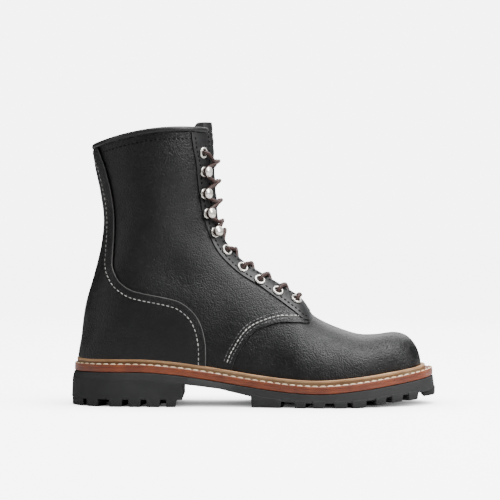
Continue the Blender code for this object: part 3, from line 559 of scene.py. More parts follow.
quarter_step = 0.0012
vamp_wall = 0.0018
binding_tall = 0.0046
rim_drop = binding_tall + gap
tucked_rim = binding_tall - 0.0016
vamp_trim = 0.0008
cut_round = 0.0004


def vamp_shape(across, along, lift):
    angle = 2 * np.pi * across
    for _ in range(3):
        place = along * rim_place(angle, tucked_rim)
        angle = round_back(throat_angle(place, vamp_throat, vamp_trim), across)
    return skin(place, angle, lift - quarter_step)


vamp = lay_grid("vamp", 190, 170, vamp_shape)
merge_close(vamp)
trim_at_feather(vamp)
thicken(vamp, vamp_wall)
finish_piece(vamp, black_grain, ("upper",))

quarter_edge = [EdgePoint(*row) for row in (
    (0.441, 0.093), (0.451, 0.156), (0.462, 0.206), (0.475, 0.262), (0.491, 0.316), (0.508, 0.353),
    (0.526, 0.379), (0.550, 0.407), (0.576, 0.429), (0.601, 0.437), (0.634, 0.440), (0.664, 0.440),
    (0.671, 0.460),
)]
quarter_places, quarter_angles = edge_on_last(quarter_edge, 120, by_angle)


def quarter_shape(across, along, lift):
    start = np.full(across.shape, vamp_throat)
    for _ in range(6):
        angle = round_back(throat_angle(start), across)
        folded = np.minimum(angle, 2 * np.pi - angle)
        start = np.interp(folded, quarter_angles, quarter_places)
    place = start + along * (rim_place(angle, tucked_rim) - start)
    return skin(place, round_back(throat_angle(place), across), lift)


quarters = lay_grid("quarters", 240, 130, quarter_shape)
trim_at_feather(quarters)
thicken(quarters, quarter_step - 0.00005, cut_round)
finish_piece(quarters, black_grain, ("upper",))


# Counter
# The heel cover, a second piece of the same hide that sweeps round the heel and narrows into
# the backstay, laid on top of the quarters and sewn down with one row of pale thread.

counter_thick = 0.0015
counter_edge = [EdgePoint(*row) for row in (
    (0.362, 0.029), (0.362, 0.169), (0.358, 0.242), (0.349, 0.318), (0.334, 0.381), (0.312, 0.429),
    (0.284, 0.463), (0.252, 0.477), (0.218, 0.487), (0.179, 0.500), (0.144, 0.523), (0.114, 0.575),
    (0.099, 0.636), (0.093, 0.695), (0.095, 0.779), (0.098, 0.892), (0.098, 1.019), (0.094, 1.170),
    (0.086, 1.321), (0.077, 1.445), (0.066, 1.570), (0.051, 1.708), (0.040, 1.900),
)]
counter_places, counter_angles = edge_on_last(counter_edge, 160, by_place)
counter_start = counter_places[0] + 0.02


def counter_shape(across, along, lift):
    angle = math.pi
    for _ in range(3):
        place = counter_start + along * (rim_place(angle, rim_drop + gap) - counter_start)
        angle = round_back(np.interp(place, counter_places, counter_angles), across)
    return skin(place, angle, lift + gap + counter_thick)


counter = lay_grid("counter", 120, 160, counter_shape)
trim_at_feather(counter)
thicken(counter, counter_thick, cut_round)
finish_piece(counter, black_grain, ("counter",))


# Eyestays
# Two smooth facings of thinner calf along the throat, one on each side, that carry the
# eyelets and hooks. They lie on the quarters and are sewn along both edges.

eyestay_thick = 0.0009
sewn_gap = 0.0001
smooth_black = leather("smooth_black_leather", (0.0075, 0.0077, 0.0082), (0.0125, 0.0127, 0.0132),
                       1500.0, 0.15, 0.00006, 0.42, 0.12)
eyestay_edge = [EdgePoint(*row) for row in (
    (0.320, 1.893), (0.325, 1.756), (0.333, 1.622), (0.339, 1.410), (0.347, 1.214), (0.356, 1.068),
    (0.373, 0.930), (0.397, 0.832), (0.438, 0.746), (0.477, 0.691), (0.517, 0.651), (0.558, 0.596),
    (0.587, 0.556), (0.619, 0.508), (0.643, 0.466), (0.665, 0.450),
)]
eyestay_places, eyestay_angles = edge_on_last(eyestay_edge, 160, by_place)
eyestay_start = 10.15
turns = {"outer": 1, "inner": -1}

for side, turn in turns.items():

    def eyestay_shape(across, along, lift):
        angle = 0.8
        for _ in range(3):
            place = eyestay_start + along * (rim_place(angle, rim_drop) - eyestay_start)
            near = throat_angle(place, trim=0.0002)
            far = np.maximum(np.interp(place, eyestay_places, eyestay_angles), near + 0.03)
            angle = near + across * (far - near)
        return skin(place, turn * angle, lift + sewn_gap + eyestay_thick)

    facing = lay_grid("eyestay_" + side, 30, 190, eyestay_shape)
    thicken(facing, eyestay_thick, 0.0003)
    finish_piece(facing, smooth_black, ("eyestay_" + side,))


# Collar binding
# A strip of calf rolled over the rim of the shaft and sewn through, so it reads as a firm
# round bead with a fold line under it.

binding_thick = 0.0050
upper_wall = quarter_step + vamp_wall
binding_sides = 14
binding_steps = 150
bead_round = 0.75


def binding_shape(across, along, lift):
    start = throat_angle(np.full(along.shape, float(collar_row)), vamp_throat) + 0.03
    angle = round_back(start, along)
    place = rim_place(angle, binding_tall / 2)
    centre = skin(place, angle, binding_thick / 2 - upper_wall)
    out = last_normal(place, angle) * np.array((1, 1, 0))
    out = out / np.linalg.norm(out, axis=-1, keepdims=True)
    turn = 2 * np.pi * across
    end = np.clip(np.minimum(along, 1 - along) * binding_steps / 2.5, 0, 1)
    end = np.sqrt(1 - (1 - end) ** 2) * 0.96 + 0.04
    wide, tall = [(size / 2 + lift) * np.sign(swing) * np.abs(swing) ** bead_round
                  for size, swing in ((binding_thick, np.cos(turn)), (binding_tall, np.sin(turn)))]
    return centre + (wide * end)[:, None] * out + (tall * end)[:, None] * np.array((0, 0, 1))


def face_outwards(piece):
    """Turns the faces of a closed piece outwards."""
    bpy.context.view_layer.objects.active = piece
    bpy.ops.object.mode_set(mode="EDIT")
    bpy.ops.mesh.select_all(action="SELECT")
    bpy.ops.mesh.normals_make_consistent(inside=False)
    bpy.ops.object.mode_set(mode="OBJECT")


def close_tube(piece):
    """Merges the seam of a rolled grid and fills its two ends."""
    merge_close(piece)
    bpy.ops.object.mode_set(mode="EDIT")
    bpy.ops.mesh.select_all(action="SELECT")
    bpy.ops.mesh.region_to_loop()
    bpy.ops.mesh.fill_holes(sides=0)
    bpy.ops.object.mode_set(mode="OBJECT")
    face_outwards(piece)


binding = lay_grid("binding", binding_sides, binding_steps, binding_shape)
close_tube(binding)
finish_piece(binding, smooth_black, ("binding",), 60)


# Tongue
# A soft leather sheet sewn in under the throat, domed between the facings, that stands a
# little above the binding with a rolled top edge.

tongue_start, tongue_end = 9.9, collar_row + 0.42
tongue_width = 0.060
tongue_thick = 0.0030
tongue_drop = 0.0011
tongue_low = 0.0012
tongue_swell = 0.0046


def tongue_bulge(place):
    """How far the tongue is pushed out between the facings, more along the shaft."""
    share = np.clip((place - 15.2) / 2.4, 0, 1)
    return tongue_low + tongue_swell * share ** 2 * (3 - 2 * share)


def tongue_shape(across, along, lift):
    tip = tongue_end - 0.45 * (2 * across - 1) ** 6
    place = tongue_start + (tip - tongue_start) * along
    half = tongue_width / 2 * np.minimum(1, 0.72 + 1.2 * along)
    corner = np.clip((along - 0.94) / 0.06, 0, 1)
    half = half * (1 - 0.14 * corner ** 2)
    y = half * (2 * across - 1)
    s = smooth_rows(section_values, place)
    aside = y - ball_width * s[:, 9]
    reach = np.clip(np.abs(aside) / (ball_width * np.where(y < 0, s[:, 4], s[:, 5])), 0, 0.99)
    angle = -np.sign(aside) * np.arcsin(reach ** (s[:, 7] / 2))
    dome = np.clip(1 - (y / throat_half(place)) ** 2, 0, None)
    dome = dome * np.clip((place - 11.2) / 1.5, 0, 1)
    soft = 0.0002 * np.sin(place * 5.1 + 60 * y) * np.clip(place - 12, 0, 1)
    offset = lift - upper_wall - gap - tongue_drop + tongue_bulge(place) * dome + soft * dome
    return skin(place, angle, offset)


tongue = lay_grid("tongue", 60, 200, tongue_shape)
thicken(tongue, tongue_thick, 0.0011)
finish_piece(tongue, smooth_black, ("tongue",))


# Welt
# A flat strip of tan leather round the whole boot, sewn through its top face, with a raised
# ridge against the upper that keeps water out and a groove between the two, coloured darker
# as painted shade.

welt_thick = 0.0024
ridge_top = 0.0113
ridge_thick = 0.0030
edge_set = 0.0026
Outline = namedtuple("Outline", "along outer inner")
sole_outline = [Outline(*row) for row in (
    (0.000, 0.000, 0.000), (0.010, 0.132, 0.132), (0.030, 0.219, 0.215), (0.070, 0.303, 0.298),
    (0.130, 0.351, 0.346), (0.200, 0.371, 0.364), (0.280, 0.375, 0.364), (0.380, 0.377, 0.345),
    (0.480, 0.405, 0.345), (0.570, 0.454, 0.386), (0.650, 0.493, 0.447), (0.720, 0.503, 0.488),
    (0.790, 0.465, 0.496), (0.860, 0.382, 0.465), (0.920, 0.303, 0.408), (0.965, 0.206, 0.320),
    (0.990, 0.085, 0.199), (1.000, -0.053, 0.053),
)]
outline_values = np.array(sole_outline)
outline_shares = np.arccos(1 - 2 * outline_values[:, 0]) / np.pi


def outline_point(share, column):
    """Point of the rubber's outline on the outer side (1) or the inner side (2)."""
    share = np.clip(np.asarray(share, float), 0, 1)
    row = np.clip(np.searchsorted(outline_shares, share, side="right") - 1, 0,
                  len(outline_shares) - 2)
    before = np.maximum(np.arange(len(outline_shares)) - 1, 0)
    after = np.minimum(np.arange(len(outline_shares)) + 1, len(outline_shares) - 1)
    slopes = (outline_values[after, column] - outline_values[before, column]) \
        / (outline_shares[after] - outline_shares[before])
    width = outline_shares[row + 1] - outline_shares[row]
    t = (share - outline_shares[row]) / width
    y = ((2 * t ** 3 - 3 * t ** 2 + 1) * outline_values[row, column]
         + (3 * t ** 2 - 2 * t ** 3) * outline_values[row + 1, column]
         + (t ** 3 - 2 * t ** 2 + t) * width * slopes[row]
         + (t ** 3 - t ** 2) * width * slopes[row + 1])
    x = sole_length * (1 - np.cos(np.pi * share)) / 2
    return np.stack((x, y * sole_width * (-1 if column == 1 else 1)), axis=-1)


def outline_inset(share, column, inset):
    """The outline drawn in by an inset, square to itself."""
    near = 0.004
    run = unit(outline_point(np.asarray(share) + near, column)
               - outline_point(np.asarray(share) - near, column))
    turn = 1 if column == 1 else -1
    normal = turn * np.stack((-run[..., 1], run[..., 0]), axis=-1)
    return outline_point(share, column) + np.asarray(inset)[..., None] * normal


def sole_layer(name, profile, start=0.012, end=0.988, steps=300):
    """A layer of the sole with the given edge profile: rows of inset and height line.
    The profile runs up the outer edge and down the inner one."""
    count = len(profile)

    def shape(across, along, lift):
        share = start + (end - start) * along
        slot = np.rint(across * (2 * count)).astype(int) % (2 * count)
        points = np.zeros((len(across), 3))
        for number in range(2 * count):
            chosen = slot == number
            row = number if number < count else 2 * count - 1 - number
            inset, height = profile[row]
            flat = outline_inset(share[chosen], 1 if number < count else 2, inset)
            points[chosen, 0] = flat[:, 0] - middle
            points[chosen, 1] = flat[:, 1]
            points[chosen, 2] = height(flat[:, 0])
        return points

    piece = lay_grid(name, 2 * count, steps, shape)
    close_tube(piece)
    return piece


def level(rise):
    """A height line that keeps a fixed rise above the rubber's top face."""
    return lambda x: rubber_top(x) + rise


def run_along(line):
    """The length run along a line, at each of its points."""
    return np.concatenate(([0], np.cumsum(np.linalg.norm(np.diff(line, axis=0), axis=1))))


def read_along(steps, run, values):
    """Points or directions along a line, at given lengths."""
    return np.stack([np.interp(steps, run, values[:, k]) for k in range(3)], axis=-1)


def boot_line(height, offset, count):
    """Evenly spaced points round the boot at a height above the feather, heel to heel."""
    places = 0.2 + 17.6 * (1 - np.cos(np.linspace(0, np.pi, 1400))) / 2
    low, high = np.zeros(places.shape), np.full(places.shape, np.pi)
    for _ in range(26):
        angle = (low + high) / 2
        over = above_feather(skin(places, angle)) > height
        low, high = np.where(over, angle, low), np.where(over, high, angle)
    keep = (angle > 0.002) & (angle < np.pi - 0.002)
    outer = skin(places[keep], angle[keep], offset)
    inner = skin(places[keep], -angle[keep], offset)
    line = np.concatenate((outer[::-1], inner, outer[-1:]))
    run = run_along(line)
    return read_along(np.linspace(0, run[-1], count + 1), run, line)


def two_tone(tree, shader, mask, low, dark, high, light):
    """Colour that runs from dark to light between two values of a mask."""
    ramp = add(tree, "ValToRGB")
    for stop, place, colour in zip(ramp.color_ramp.elements, (low, high), (dark, light)):
        stop.position = place
        stop.color = (*colour, 1)
    tree.links.new(mask, ramp.inputs["Fac"])
    tree.links.new(ramp.outputs["Color"], shader.inputs["Base Color"])


def edge_leather(name, dark, light, rough, coat, streak):
    """Trimmed and waxed leather edge, streaked along its layers."""
    material, tree, shader = new_finish(name, Coat_Weight=coat)
    place = add(tree, "TexCoord").outputs["Object"]
    squeeze = add(tree, "Mapping", Scale=(60, 60, 900))
    tree.links.new(place, squeeze.inputs["Vector"])
    fibre = noise(tree, squeeze.outputs["Vector"], 1.0, 4.0, 0.65)
    blend = math_node(tree, "MULTIPLY", fibre, noise(tree, place, 70.0, 3.0))
    two_tone(tree, shader, blend, 0.12, dark, 0.42, light)
    gloss_by(tree, shader, fibre, 0.25, rough - 0.12)
    bump_by(tree, shader, fibre, streak)
    return material


tan_welt = edge_leather("tan_welt_leather", (0.105, 0.016, 0.0024), (0.250, 0.053, 0.0085),
                        0.46, 0.20, 0.00012)
welt_top = feather + welt_thick
welt_steps = 900
welt_profile = ((0.012, level(feather)), (edge_set + 0.0002, level(feather)),
                (edge_set, level(feather + 0.0001)), (edge_set, level(welt_top - 0.0005)),
                (edge_set + 0.0005, level(welt_top)), (0.012, level(welt_top)))


def welt_strip(across, along, lift):
    """The flat strip as a closed band: round the outline, then across its profile."""
    points = np.zeros((len(across), 3))
    slot = np.rint(across * len(welt_profile)).astype(int) % len(welt_profile)
    side = np.where((along < 0.5) | (along > 0.9999), 1, 2)
    share = np.where(along < 0.5, 2 * along, 2 - 2 * along)
    for number, (inset, height) in enumerate(welt_profile):
        for column in (1, 2):
            chosen = (slot == number) & (side == column)
            flat = outline_inset(np.clip(share[chosen], 0.003, 0.997), column, inset)
            points[chosen] = np.stack((flat[:, 0] - middle, flat[:, 1], height(flat[:, 0])), -1)
    return points


welt = lay_grid("welt", len(welt_profile), welt_steps, welt_strip)
merge_close(welt, 0.00004)
face_outwards(welt)
finish_piece(welt, tan_welt, ("welt",))

storm_tan = edge_leather("storm_welt_leather", (0.26, 0.13, 0.052), (0.46, 0.27, 0.13),
                        0.55, 0.05, 0.00012)
# Darker colour for the base and lower face of the ridge, in the groove against the welt: painted
# shade.
storm_groove_painted_shade = edge_leather("storm_welt_groove_painted_shade", (0.12, 0.065, 0.026), (0.20, 0.11, 0.048),
                        0.65, 0.0, 0.00012)
ridge_out = gap + ridge_thick - 0.0005
ridge_high = ridge_top - feather
ridge_profile = ((-0.0009, welt_thick), (ridge_out, welt_thick),
                 (ridge_out - 0.0005, welt_thick + 0.0008),
                 (ridge_out - 0.0006, ridge_high - 0.0018),
                 (ridge_out - 0.0004, ridge_high - 0.0013),
                 (ridge_out - 0.0005, ridge_high - 0.0004), (ridge_out - 0.0012, ridge_high),
                 (-0.0009, ridge_high - 0.0004))
ridge_steps = 700
ridge_lines = np.array([boot_line(height, offset, ridge_steps)
                        for offset, height in ridge_profile])


def ridge_shape(across, along, lift):
    slot = np.rint(across * len(ridge_lines)).astype(int) % len(ridge_lines)
    step = np.rint(along * ridge_steps).astype(int) % ridge_steps
    return ridge_lines[slot, step]


ridge = lay_grid("storm_ridge", len(ridge_profile), ridge_steps, ridge_shape)
merge_close(ridge)
face_outwards(ridge)
finish_piece(ridge, storm_tan, ("welt",))
# The lower rows of the ridge, down in the groove, take the darker finish: painted shade.
ridge.data.materials.append(storm_groove_painted_shade)
for face in ridge.data.polygons:
    rows = [ridge.data.uv_layers[0].data[k].uv[0] for k in face.loop_indices]
    if max(rows) < 3.4 / len(ridge_profile):
        face.material_index = 1


# Midsole
# One layer of red-brown sole leather under the welt, sewn through with it, trimmed flush
# and burnished.

red_edge = edge_leather("midsole_edge_leather", (0.095, 0.014, 0.0024), (0.215, 0.043, 0.0075),
                        0.42, 0.25, 0.00010)
midsole_profile = ((edge_set + 0.0005, level(gap)), (edge_set - 0.0001, level(gap + 0.0005)),
                   (edge_set - 0.0001, level(feather - 0.0001)),
                   (edge_set + 0.0005, level(feather)))
midsole = sole_layer("midsole", midsole_profile)
finish_piece(midsole, red_edge, ("midsole",))


# Insole
# A plain leather board inside the boot on top of the midsole, cut to the line of the upper's
# inside so that its edge doesn't show.

insole_thick = 0.0030
board = edge_leather("insole_leather", (0.16, 0.10, 0.06), (0.30, 0.20, 0.12),
                        0.75, 0.0, 0.00010)
insole_points = 400
insole_cut = 3
insole_steps = 194
insole_edge = boot_line(0.0008, -upper_wall - gap, insole_points)


def insole_shape(across, along, lift):
    step = np.rint(insole_cut + along * insole_steps).astype(int)
    outer, inner = insole_edge[step], insole_edge[insole_points - step]
    points = outer + across[:, None] * (inner - outer)
    points[:, 2] = rubber_top(points[:, 0] + middle) + feather + insole_thick + lift
    return points


insole = lay_grid("insole", 24, insole_steps, insole_shape)
thicken(insole, insole_thick, 0.0005)
finish_piece(insole, board, ("insole",))


# Rubber sole
# One moulded rubber sheet with deep lugs under the forefoot and a separate heel block. The
# lugs are cut at a slant, wide at the root, and the side walls are plain and matt.

Under = namedtuple("Under", "along sheet ground")
underside = [Under(*row) for row in (
    (0.00, 0.786, 0.000), (0.28, 0.750, 0.000), (0.34, 0.742, 0.000), (0.41, 0.734, 0.000),
    (0.47, 0.613, 0.000), (0.52, 0.472, 0.000), (0.60, 0.375, 0.000), (0.78, 0.334, 0.000),
    (0.83, 0.441, 0.191), (0.88, 0.497, 0.348), (0.93, 0.503, 0.452), (1.00, 0.513, 0.696),
)]


def underside_share(x, column):
    return np.interp(np.asarray(x) / sole_length, [u.along for u in underside],
                     [getattr(u, column) for u in underside])


def under_sheet(x):
    """Height of the rubber sheet's underside, between the lugs."""
    return underside_share(x, "sheet") * rubber_top(x)


def ground_line(x):
    """Height of the forefoot lugs' tread, which lifts towards the toe."""
    return underside_share(x, "ground") * toe_rise


def rubber_finish():
    """Dark grey moulded rubber: matt, faintly mottled, paler where it has been rubbed."""
    material, tree, shader = new_finish("dark_rubber", Specular_IOR_Level=0.3)
    place = add(tree, "TexCoord").outputs["Object"]
    broad = noise(tree, place, 45.0, 4.0)
    two_tone(tree, shader, broad, 0.3, (0.013, 0.0132, 0.0136), 0.75, (0.024, 0.0242, 0.0248))
    gloss_by(tree, shader, broad, 0.2, 0.62)
    bump_by(tree, shader, noise(tree, place, 1400.0, 3.0, 0.7), 0.00008)
    return material


rubber = rubber_finish()
rubber_draft = 0.0008
heel_breast = 0.0937
heel_lug_depth = 0.0060
lug_root = 0.0020
lug_slant = 0.0009
lug_edge = 0.0006
diamond_tip = 0.0016
sheet_profile = ((rubber_draft + 0.0006, under_sheet),
                 (rubber_draft, lambda x: under_sheet(x) + 0.0006),
                 (edge_set - 0.0004, level(-0.0005)), (edge_set + 0.0002, level(0.0)))
sheet = sole_layer("rubber_sheet", sheet_profile)

Lug = namedtuple("Lug", "back front depth")
forefoot_lugs = [Lug(*row) for row in (
    (0.490, 0.572, 0.132), (0.605, 0.638, 0.193), (0.654, 0.690, 0.140), (0.711, 0.749, 0.193),
    (0.761, 0.802, 0.140), (0.825, 0.857, 0.175), (0.869, 0.903, 0.132), (0.916, 0.947, 0.132),
)]
centre_lugs = [Lug(*row) for row in (
    (0.512, 0.551, 0.158), (0.623, 0.662, 0.184), (0.731, 0.767, 0.184), (0.826, 0.859, 0.149),
    (0.915, 0.941, 0.070),
)]
toe_lug = Lug(0.959, 0.9995, 0.105)
heel_lugs = [Lug(*row) for row in (
    (0.149, 0.262, 0.140), (0.352, 0.475, 0.193), (0.523, 0.640, 0.140), (0.683, 0.811, 0.193),
    (0.854, 0.948, 0.140),
)]
heel_back_lug = Lug(0.0006, 0.133, 0.105)
heel_centre_lug = Lug(0.320, 0.854, 0.136)


def share_at(x):
    return np.arccos(1 - 2 * np.asarray(x) / sole_length) / np.pi


def lug_block(top, low, plan):
    """One lug: plan gives its flat shape, which narrows by a slant towards the ground."""
    bpy.ops.object.select_all(action="DESELECT")
    bpy.ops.mesh.primitive_grid_add(x_subdivisions=8, y_subdivisions=2, size=1)
    block = bpy.context.object
    block.name = "lug"
    shares = [(v.co.x + 0.5, v.co.y + 0.5) for v in block.data.vertices]
    for vertex, (u, v) in zip(block.data.vertices, shares):
        x, y = plan(u, v, 0.0)
        vertex.co = (x - middle, y, float(top(x)))
    bpy.ops.object.mode_set(mode="EDIT")
    bpy.ops.mesh.select_all(action="SELECT")
    bpy.ops.mesh.extrude_region_move(TRANSFORM_OT_translate={"value": (0, 0, -0.002)})
    bpy.ops.object.mode_set(mode="OBJECT")
    count = len(shares)
    for vertex, (u, v) in zip(list(block.data.vertices)[count:], shares):
        x, y = plan(u, v, lug_slant)
        vertex.co = (x - middle, y, float(low(x)))
    face_outwards(block)
    soften_edges(block, lug_edge, 50)
    apply_all(block)
    return block


def edge_plan(lug, length, column, inset):
    """Plan of a lug at the edge of the sole, narrower at its ends towards the ground."""
    def plan(u, v, slant):
        back, front = lug.back * length + slant, lug.front * length - slant
        share = float(share_at(np.clip(back + u * (front - back), 0.00005, sole_length)))
        reach = inset + slant * 0.25 + v * lug.depth * sole_width * (1 + 0.25 * (u - 0.5))
        x, y = outline_inset(share, column, reach)
        return float(x), float(y)
    return plan


def diamond_plan(lug, length):
    """Plan of a lug on the middle line, drawn to a blunt tip at both ends."""
    def plan(u, v, slant):
        back, front = lug.back * length + slant, lug.front * length - slant
        side = (lug.depth * sole_width - slant) * (1 - abs(2 * u - 1) ** 1.3)
        return back + u * (front - back), max(side, diamond_tip) * (2 * v - 1)
    return plan


def end_plan(share_out, front, at_toe):
    """Plan of the lug that wraps round the toe or the back of the heel."""
    def plan(u, v, slant):
        column = 1 if u < 0.5 else 2
        reach = abs(2 * u - 1)
        share = 1 - (1 - share_out) * reach if at_toe else share_out * reach
        share = min(max(share, 0.002), 0.998)
        x, y = outline_inset(share, column, gap + slant * 0.25)
        inner = 0.012 * (2 * u - 1)
        end = front + slant if at_toe else front - slant
        return float(x + v * (end - x)), float(y + v * (inner - y))
    return plan


def lug_top(x):
    return under_sheet(x) + lug_root


def heel_floor(x):
    return 0.0


def heel_root(x):
    return heel_lug_depth + lug_root


def lug_set(top, low, edge_lugs, centre, inset, length, end_lug):
    """All lugs under one part of the sole: both edges, the middle line and the end."""
    plans = [edge_plan(lug, length, column, inset) for lug in edge_lugs for column in (1, 2)]
    plans += [diamond_plan(lug, length) for lug in centre]
    return [lug_block(top, low, plan) for plan in plans + [end_lug]]


toe_end = end_plan(0.945, toe_lug.back * sole_length, True)
forefoot = [sheet] + lug_set(lug_top, ground_line, forefoot_lugs, centre_lugs, gap,
                             sole_length, toe_end)

heel_steps = 140
heel_profile = ((0.0006, lambda x: heel_lug_depth),
                (0.0001, lambda x: heel_lug_depth + 0.0006),
                (rubber_draft - 0.0001, lambda x: under_sheet(x) + 0.0002),
                (rubber_draft + 0.0003, lambda x: under_sheet(x) + 0.0006))
heel = sole_layer("heel", heel_profile, end=float(share_at(heel_breast)), steps=heel_steps)
heel_end = end_plan(0.125, heel_back_lug.front * heel_breast, False)
heel_parts = [heel] + lug_set(heel_root, heel_floor, heel_lugs, (heel_centre_lug,), 0.0001,
                              heel_breast, heel_end)


def join_pieces(parts):
    """Joins the parts into the first of them."""
    bpy.ops.object.select_all(action="DESELECT")
    for part in parts:
        part.select_set(True)
    bpy.context.view_layer.objects.active = parts[0]
    bpy.ops.object.join()


for parts, node in ((forefoot, "outsole"), (heel_parts, "heel")):
    join_pieces(parts)
    parts[0].name = node + "_rubber"
    finish_piece(parts[0], rubber, (node,), 35)


# Thread
# Waxed thread in lockstitch rows. Each stitch is a short plump bar that dips into its holes:
# pale grey on the counter and the vamp seam, black on the facings, cream on the welt.

Seam = namedtuple("Seam", "line normal")
seam_points = 240


def thread(name, dark, light):
    """Waxed thread, twisted and a little uneven in its tone."""
    material, tree, shader = new_finish(name, Specular_IOR_Level=0.15)
    place = add(tree, "TexCoord").outputs["Object"]
    blot = noise(tree, place, 230.0, 2.0)
    twist = add(tree, "TexWave", Scale=420.0, Distortion=2.0, bands_direction="DIAGONAL")
    tree.links.new(place, twist.inputs["Vector"])
    two_tone(tree, shader, blot, 0.35, dark, 0.60, light)
    gloss_by(tree, shader, blot, 0.3, 0.50)
    bump_by(tree, shader, twist.outputs["Fac"], 0.00008, 0.8)
    return material


def sew(name, seams, finish, radius, pitch=0.0038, dash=0.0026):
    """Rows of stitches along seams, each stitch a copy of one shaped bar: half its width, the
    step from stitch to stitch and its length."""
    bpy.ops.object.select_all(action="DESELECT")
    bpy.ops.mesh.primitive_uv_sphere_add(segments=6, ring_count=6, radius=1)
    bar = bpy.context.object
    bpy.ops.object.mode_set(mode="EDIT")
    bpy.ops.mesh.select_all(action="SELECT")
    bpy.ops.transform.resize(value=(radius, radius * 0.85, dash / 2))
    bpy.ops.object.mode_set(mode="OBJECT")
    shape = np.array([v.co for v in bar.data.vertices])
    faces = [tuple(f.vertices) for f in bar.data.polygons]
    along_bar = shape[:, 2] / (dash / 2)
    full = np.sqrt(np.clip(1 - along_bar ** 6, 0, 1))
    shape[:, :2] *= (full / np.sqrt(np.clip(1 - along_bar ** 2, 0.05, 1)))[:, None]
    sink = -radius * 1.1 * along_bar ** 4
    points, polygons = [], []
    for seam in seams:
        run = run_along(seam.line)
        count = max(int(run[-1] / pitch), 1)
        steps = (np.arange(count) + 0.5) * run[-1] / count
        centre = read_along(steps, run, seam.line)
        ahead = unit(read_along(steps + 0.0003, run, seam.line)
                     - read_along(steps - 0.0003, run, seam.line))
        out = read_along(steps, run, seam.normal)
        out = unit(out - ahead * np.sum(out * ahead, axis=1, keepdims=True))
        side = np.cross(out, ahead)
        for c, a, o, s in zip(centre, ahead, out, side):
            start = len(points) * len(shape)
            points.append(c + shape[:, [0]] * s + (shape[:, [1]] + sink[:, None]) * o
                          + shape[:, [2]] * a)
            polygons += [tuple(start + v for v in face) for face in faces]
    bpy.data.objects.remove(bar, do_unlink=True)
    mesh = bpy.data.meshes.new(name)
    mesh.from_pydata(np.concatenate(points).tolist(), [], polygons)
    mesh.update()
    row = bpy.data.objects.new(name, mesh)
    bpy.context.collection.objects.link(row)
    finish_piece(row, finish, (), 60)


def cord(name, line, radius, sides):
    """A round cord swept along a line without twisting."""
    ahead = np.gradient(line, axis=0)
    ahead /= np.linalg.norm(ahead, axis=1, keepdims=True)
    across_line = np.zeros(line.shape)
    across = np.cross(ahead[0], (0.0, 0.0, 1.0))
    for k, run in enumerate(ahead):
        across = across - run * np.dot(across, run)
        across = across / np.linalg.norm(across)
        across_line[k] = across
    other_line = np.cross(ahead, across_line)

    def shape(around, along, lift):
        step = np.rint(along * (len(line) - 1)).astype(int)
        turn = 2 * np.pi * around
        return line[step] + (radius + lift) * (np.cos(turn)[:, None] * across_line[step]
                                               + np.sin(turn)[:, None] * other_line[step])

    piece = lay_grid(name, sides, len(line) - 1, shape)
    close_tube(piece)
    return piece


def seams_on_skin(place, angle, offset):
    """A seam on the outer side and its partner on the inner side."""
    return [Seam(skin(place, turn * angle, offset), last_normal(place, turn * angle))
            for turn in turns.values()]


def side_seam(table, inset, offset, low=0.0, high=1.0):
    """Seams on the outer and inner side that follow an edge table at an inset."""
    line = edge_line(table, seam_points)
    run = np.gradient(line, axis=0)
    run /= np.linalg.norm(run, axis=1, keepdims=True)
    line = line + inset * np.stack((run[:, 1], -run[:, 0]), axis=-1)
    line = line[int(low * (seam_points - 1)):int(high * (seam_points - 1)) + 1]
    height = line[:, 1] - rubber_top(line[:, 0]) - feather
    line = line[height > ridge_high - 0.001]
    place, angle = on_last(*line.T)
    keep = place < rim_place(angle, rim_drop + 0.001)
    return seams_on_skin(place[keep], angle[keep], offset)


pale_thread = thread("pale_thread", (0.28, 0.28, 0.27), (0.62, 0.61, 0.58))
grey_thread = thread("grey_thread", (0.05, 0.05, 0.05), (0.17, 0.17, 0.17))
black_thread = thread("black_thread", (0.0004, 0.0004, 0.0004), (0.0010, 0.0010, 0.0010))
cream_thread = thread("cream_thread", (0.70, 0.52, 0.30), (0.92, 0.78, 0.56))

on_counter = gap + counter_thick + 0.00015
sew("counter_stitches", side_seam(counter_edge, -0.0056, on_counter), pale_thread,
    0.00034, pitch=0.0039)
# A pale grey cord along the counter's cut edge: a painted highlight where the edge catches the
# light.
edge_highlight_finish = leather("counter_edge_painted_highlight", (0.045, 0.045, 0.044), (0.105, 0.104, 0.100),
                   900.0, 0.3, 0.0001, 0.55, 0.0)
for side, seam in zip(turns, side_seam(counter_edge, 0.0001, on_counter - 0.0004)):
    highlight_cord = cord("counter_edge_highlight_cord_" + side, seam.line, 0.00042, 6)
    finish_piece(highlight_cord, edge_highlight_finish, (), 60)
vamp_seam = quarter_edge[:-1]
sew("vamp_seam_stitches", side_seam(vamp_seam, -0.0052, 0.00015), pale_thread,
    0.00042, pitch=0.0036, dash=0.0029)
side_rows = side_seam(vamp_seam, -0.0028, sewn_gap) + side_seam(vamp_seam, -0.0078, sewn_gap)
sew("vamp_seam_side_rows", side_rows, grey_thread, 0.00034, pitch=0.0034)
on_facing = sewn_gap + eyestay_thick + sewn_gap
sew("facing_stitches", side_seam(eyestay_edge, -0.0026, on_facing, low=0.02, high=0.97),
    black_thread, 0.00060)
throat_line = np.linspace(11.3, 24.7, 200)
throat_seams = seams_on_skin(throat_line, throat_angle(throat_line, trim=0.0026), on_facing)
sew("throat_stitches", throat_seams, black_thread, 0.00056)
collar_turn = np.linspace(0.75, 2 * np.pi - 0.75, 400)
collar_line = rim_place(collar_turn, rim_drop + 0.0052)
collar_seam = Seam(skin(collar_line, collar_turn, sewn_gap), last_normal(collar_line, collar_turn))
sew("collar_stitches", [collar_seam], black_thread, 0.00050)


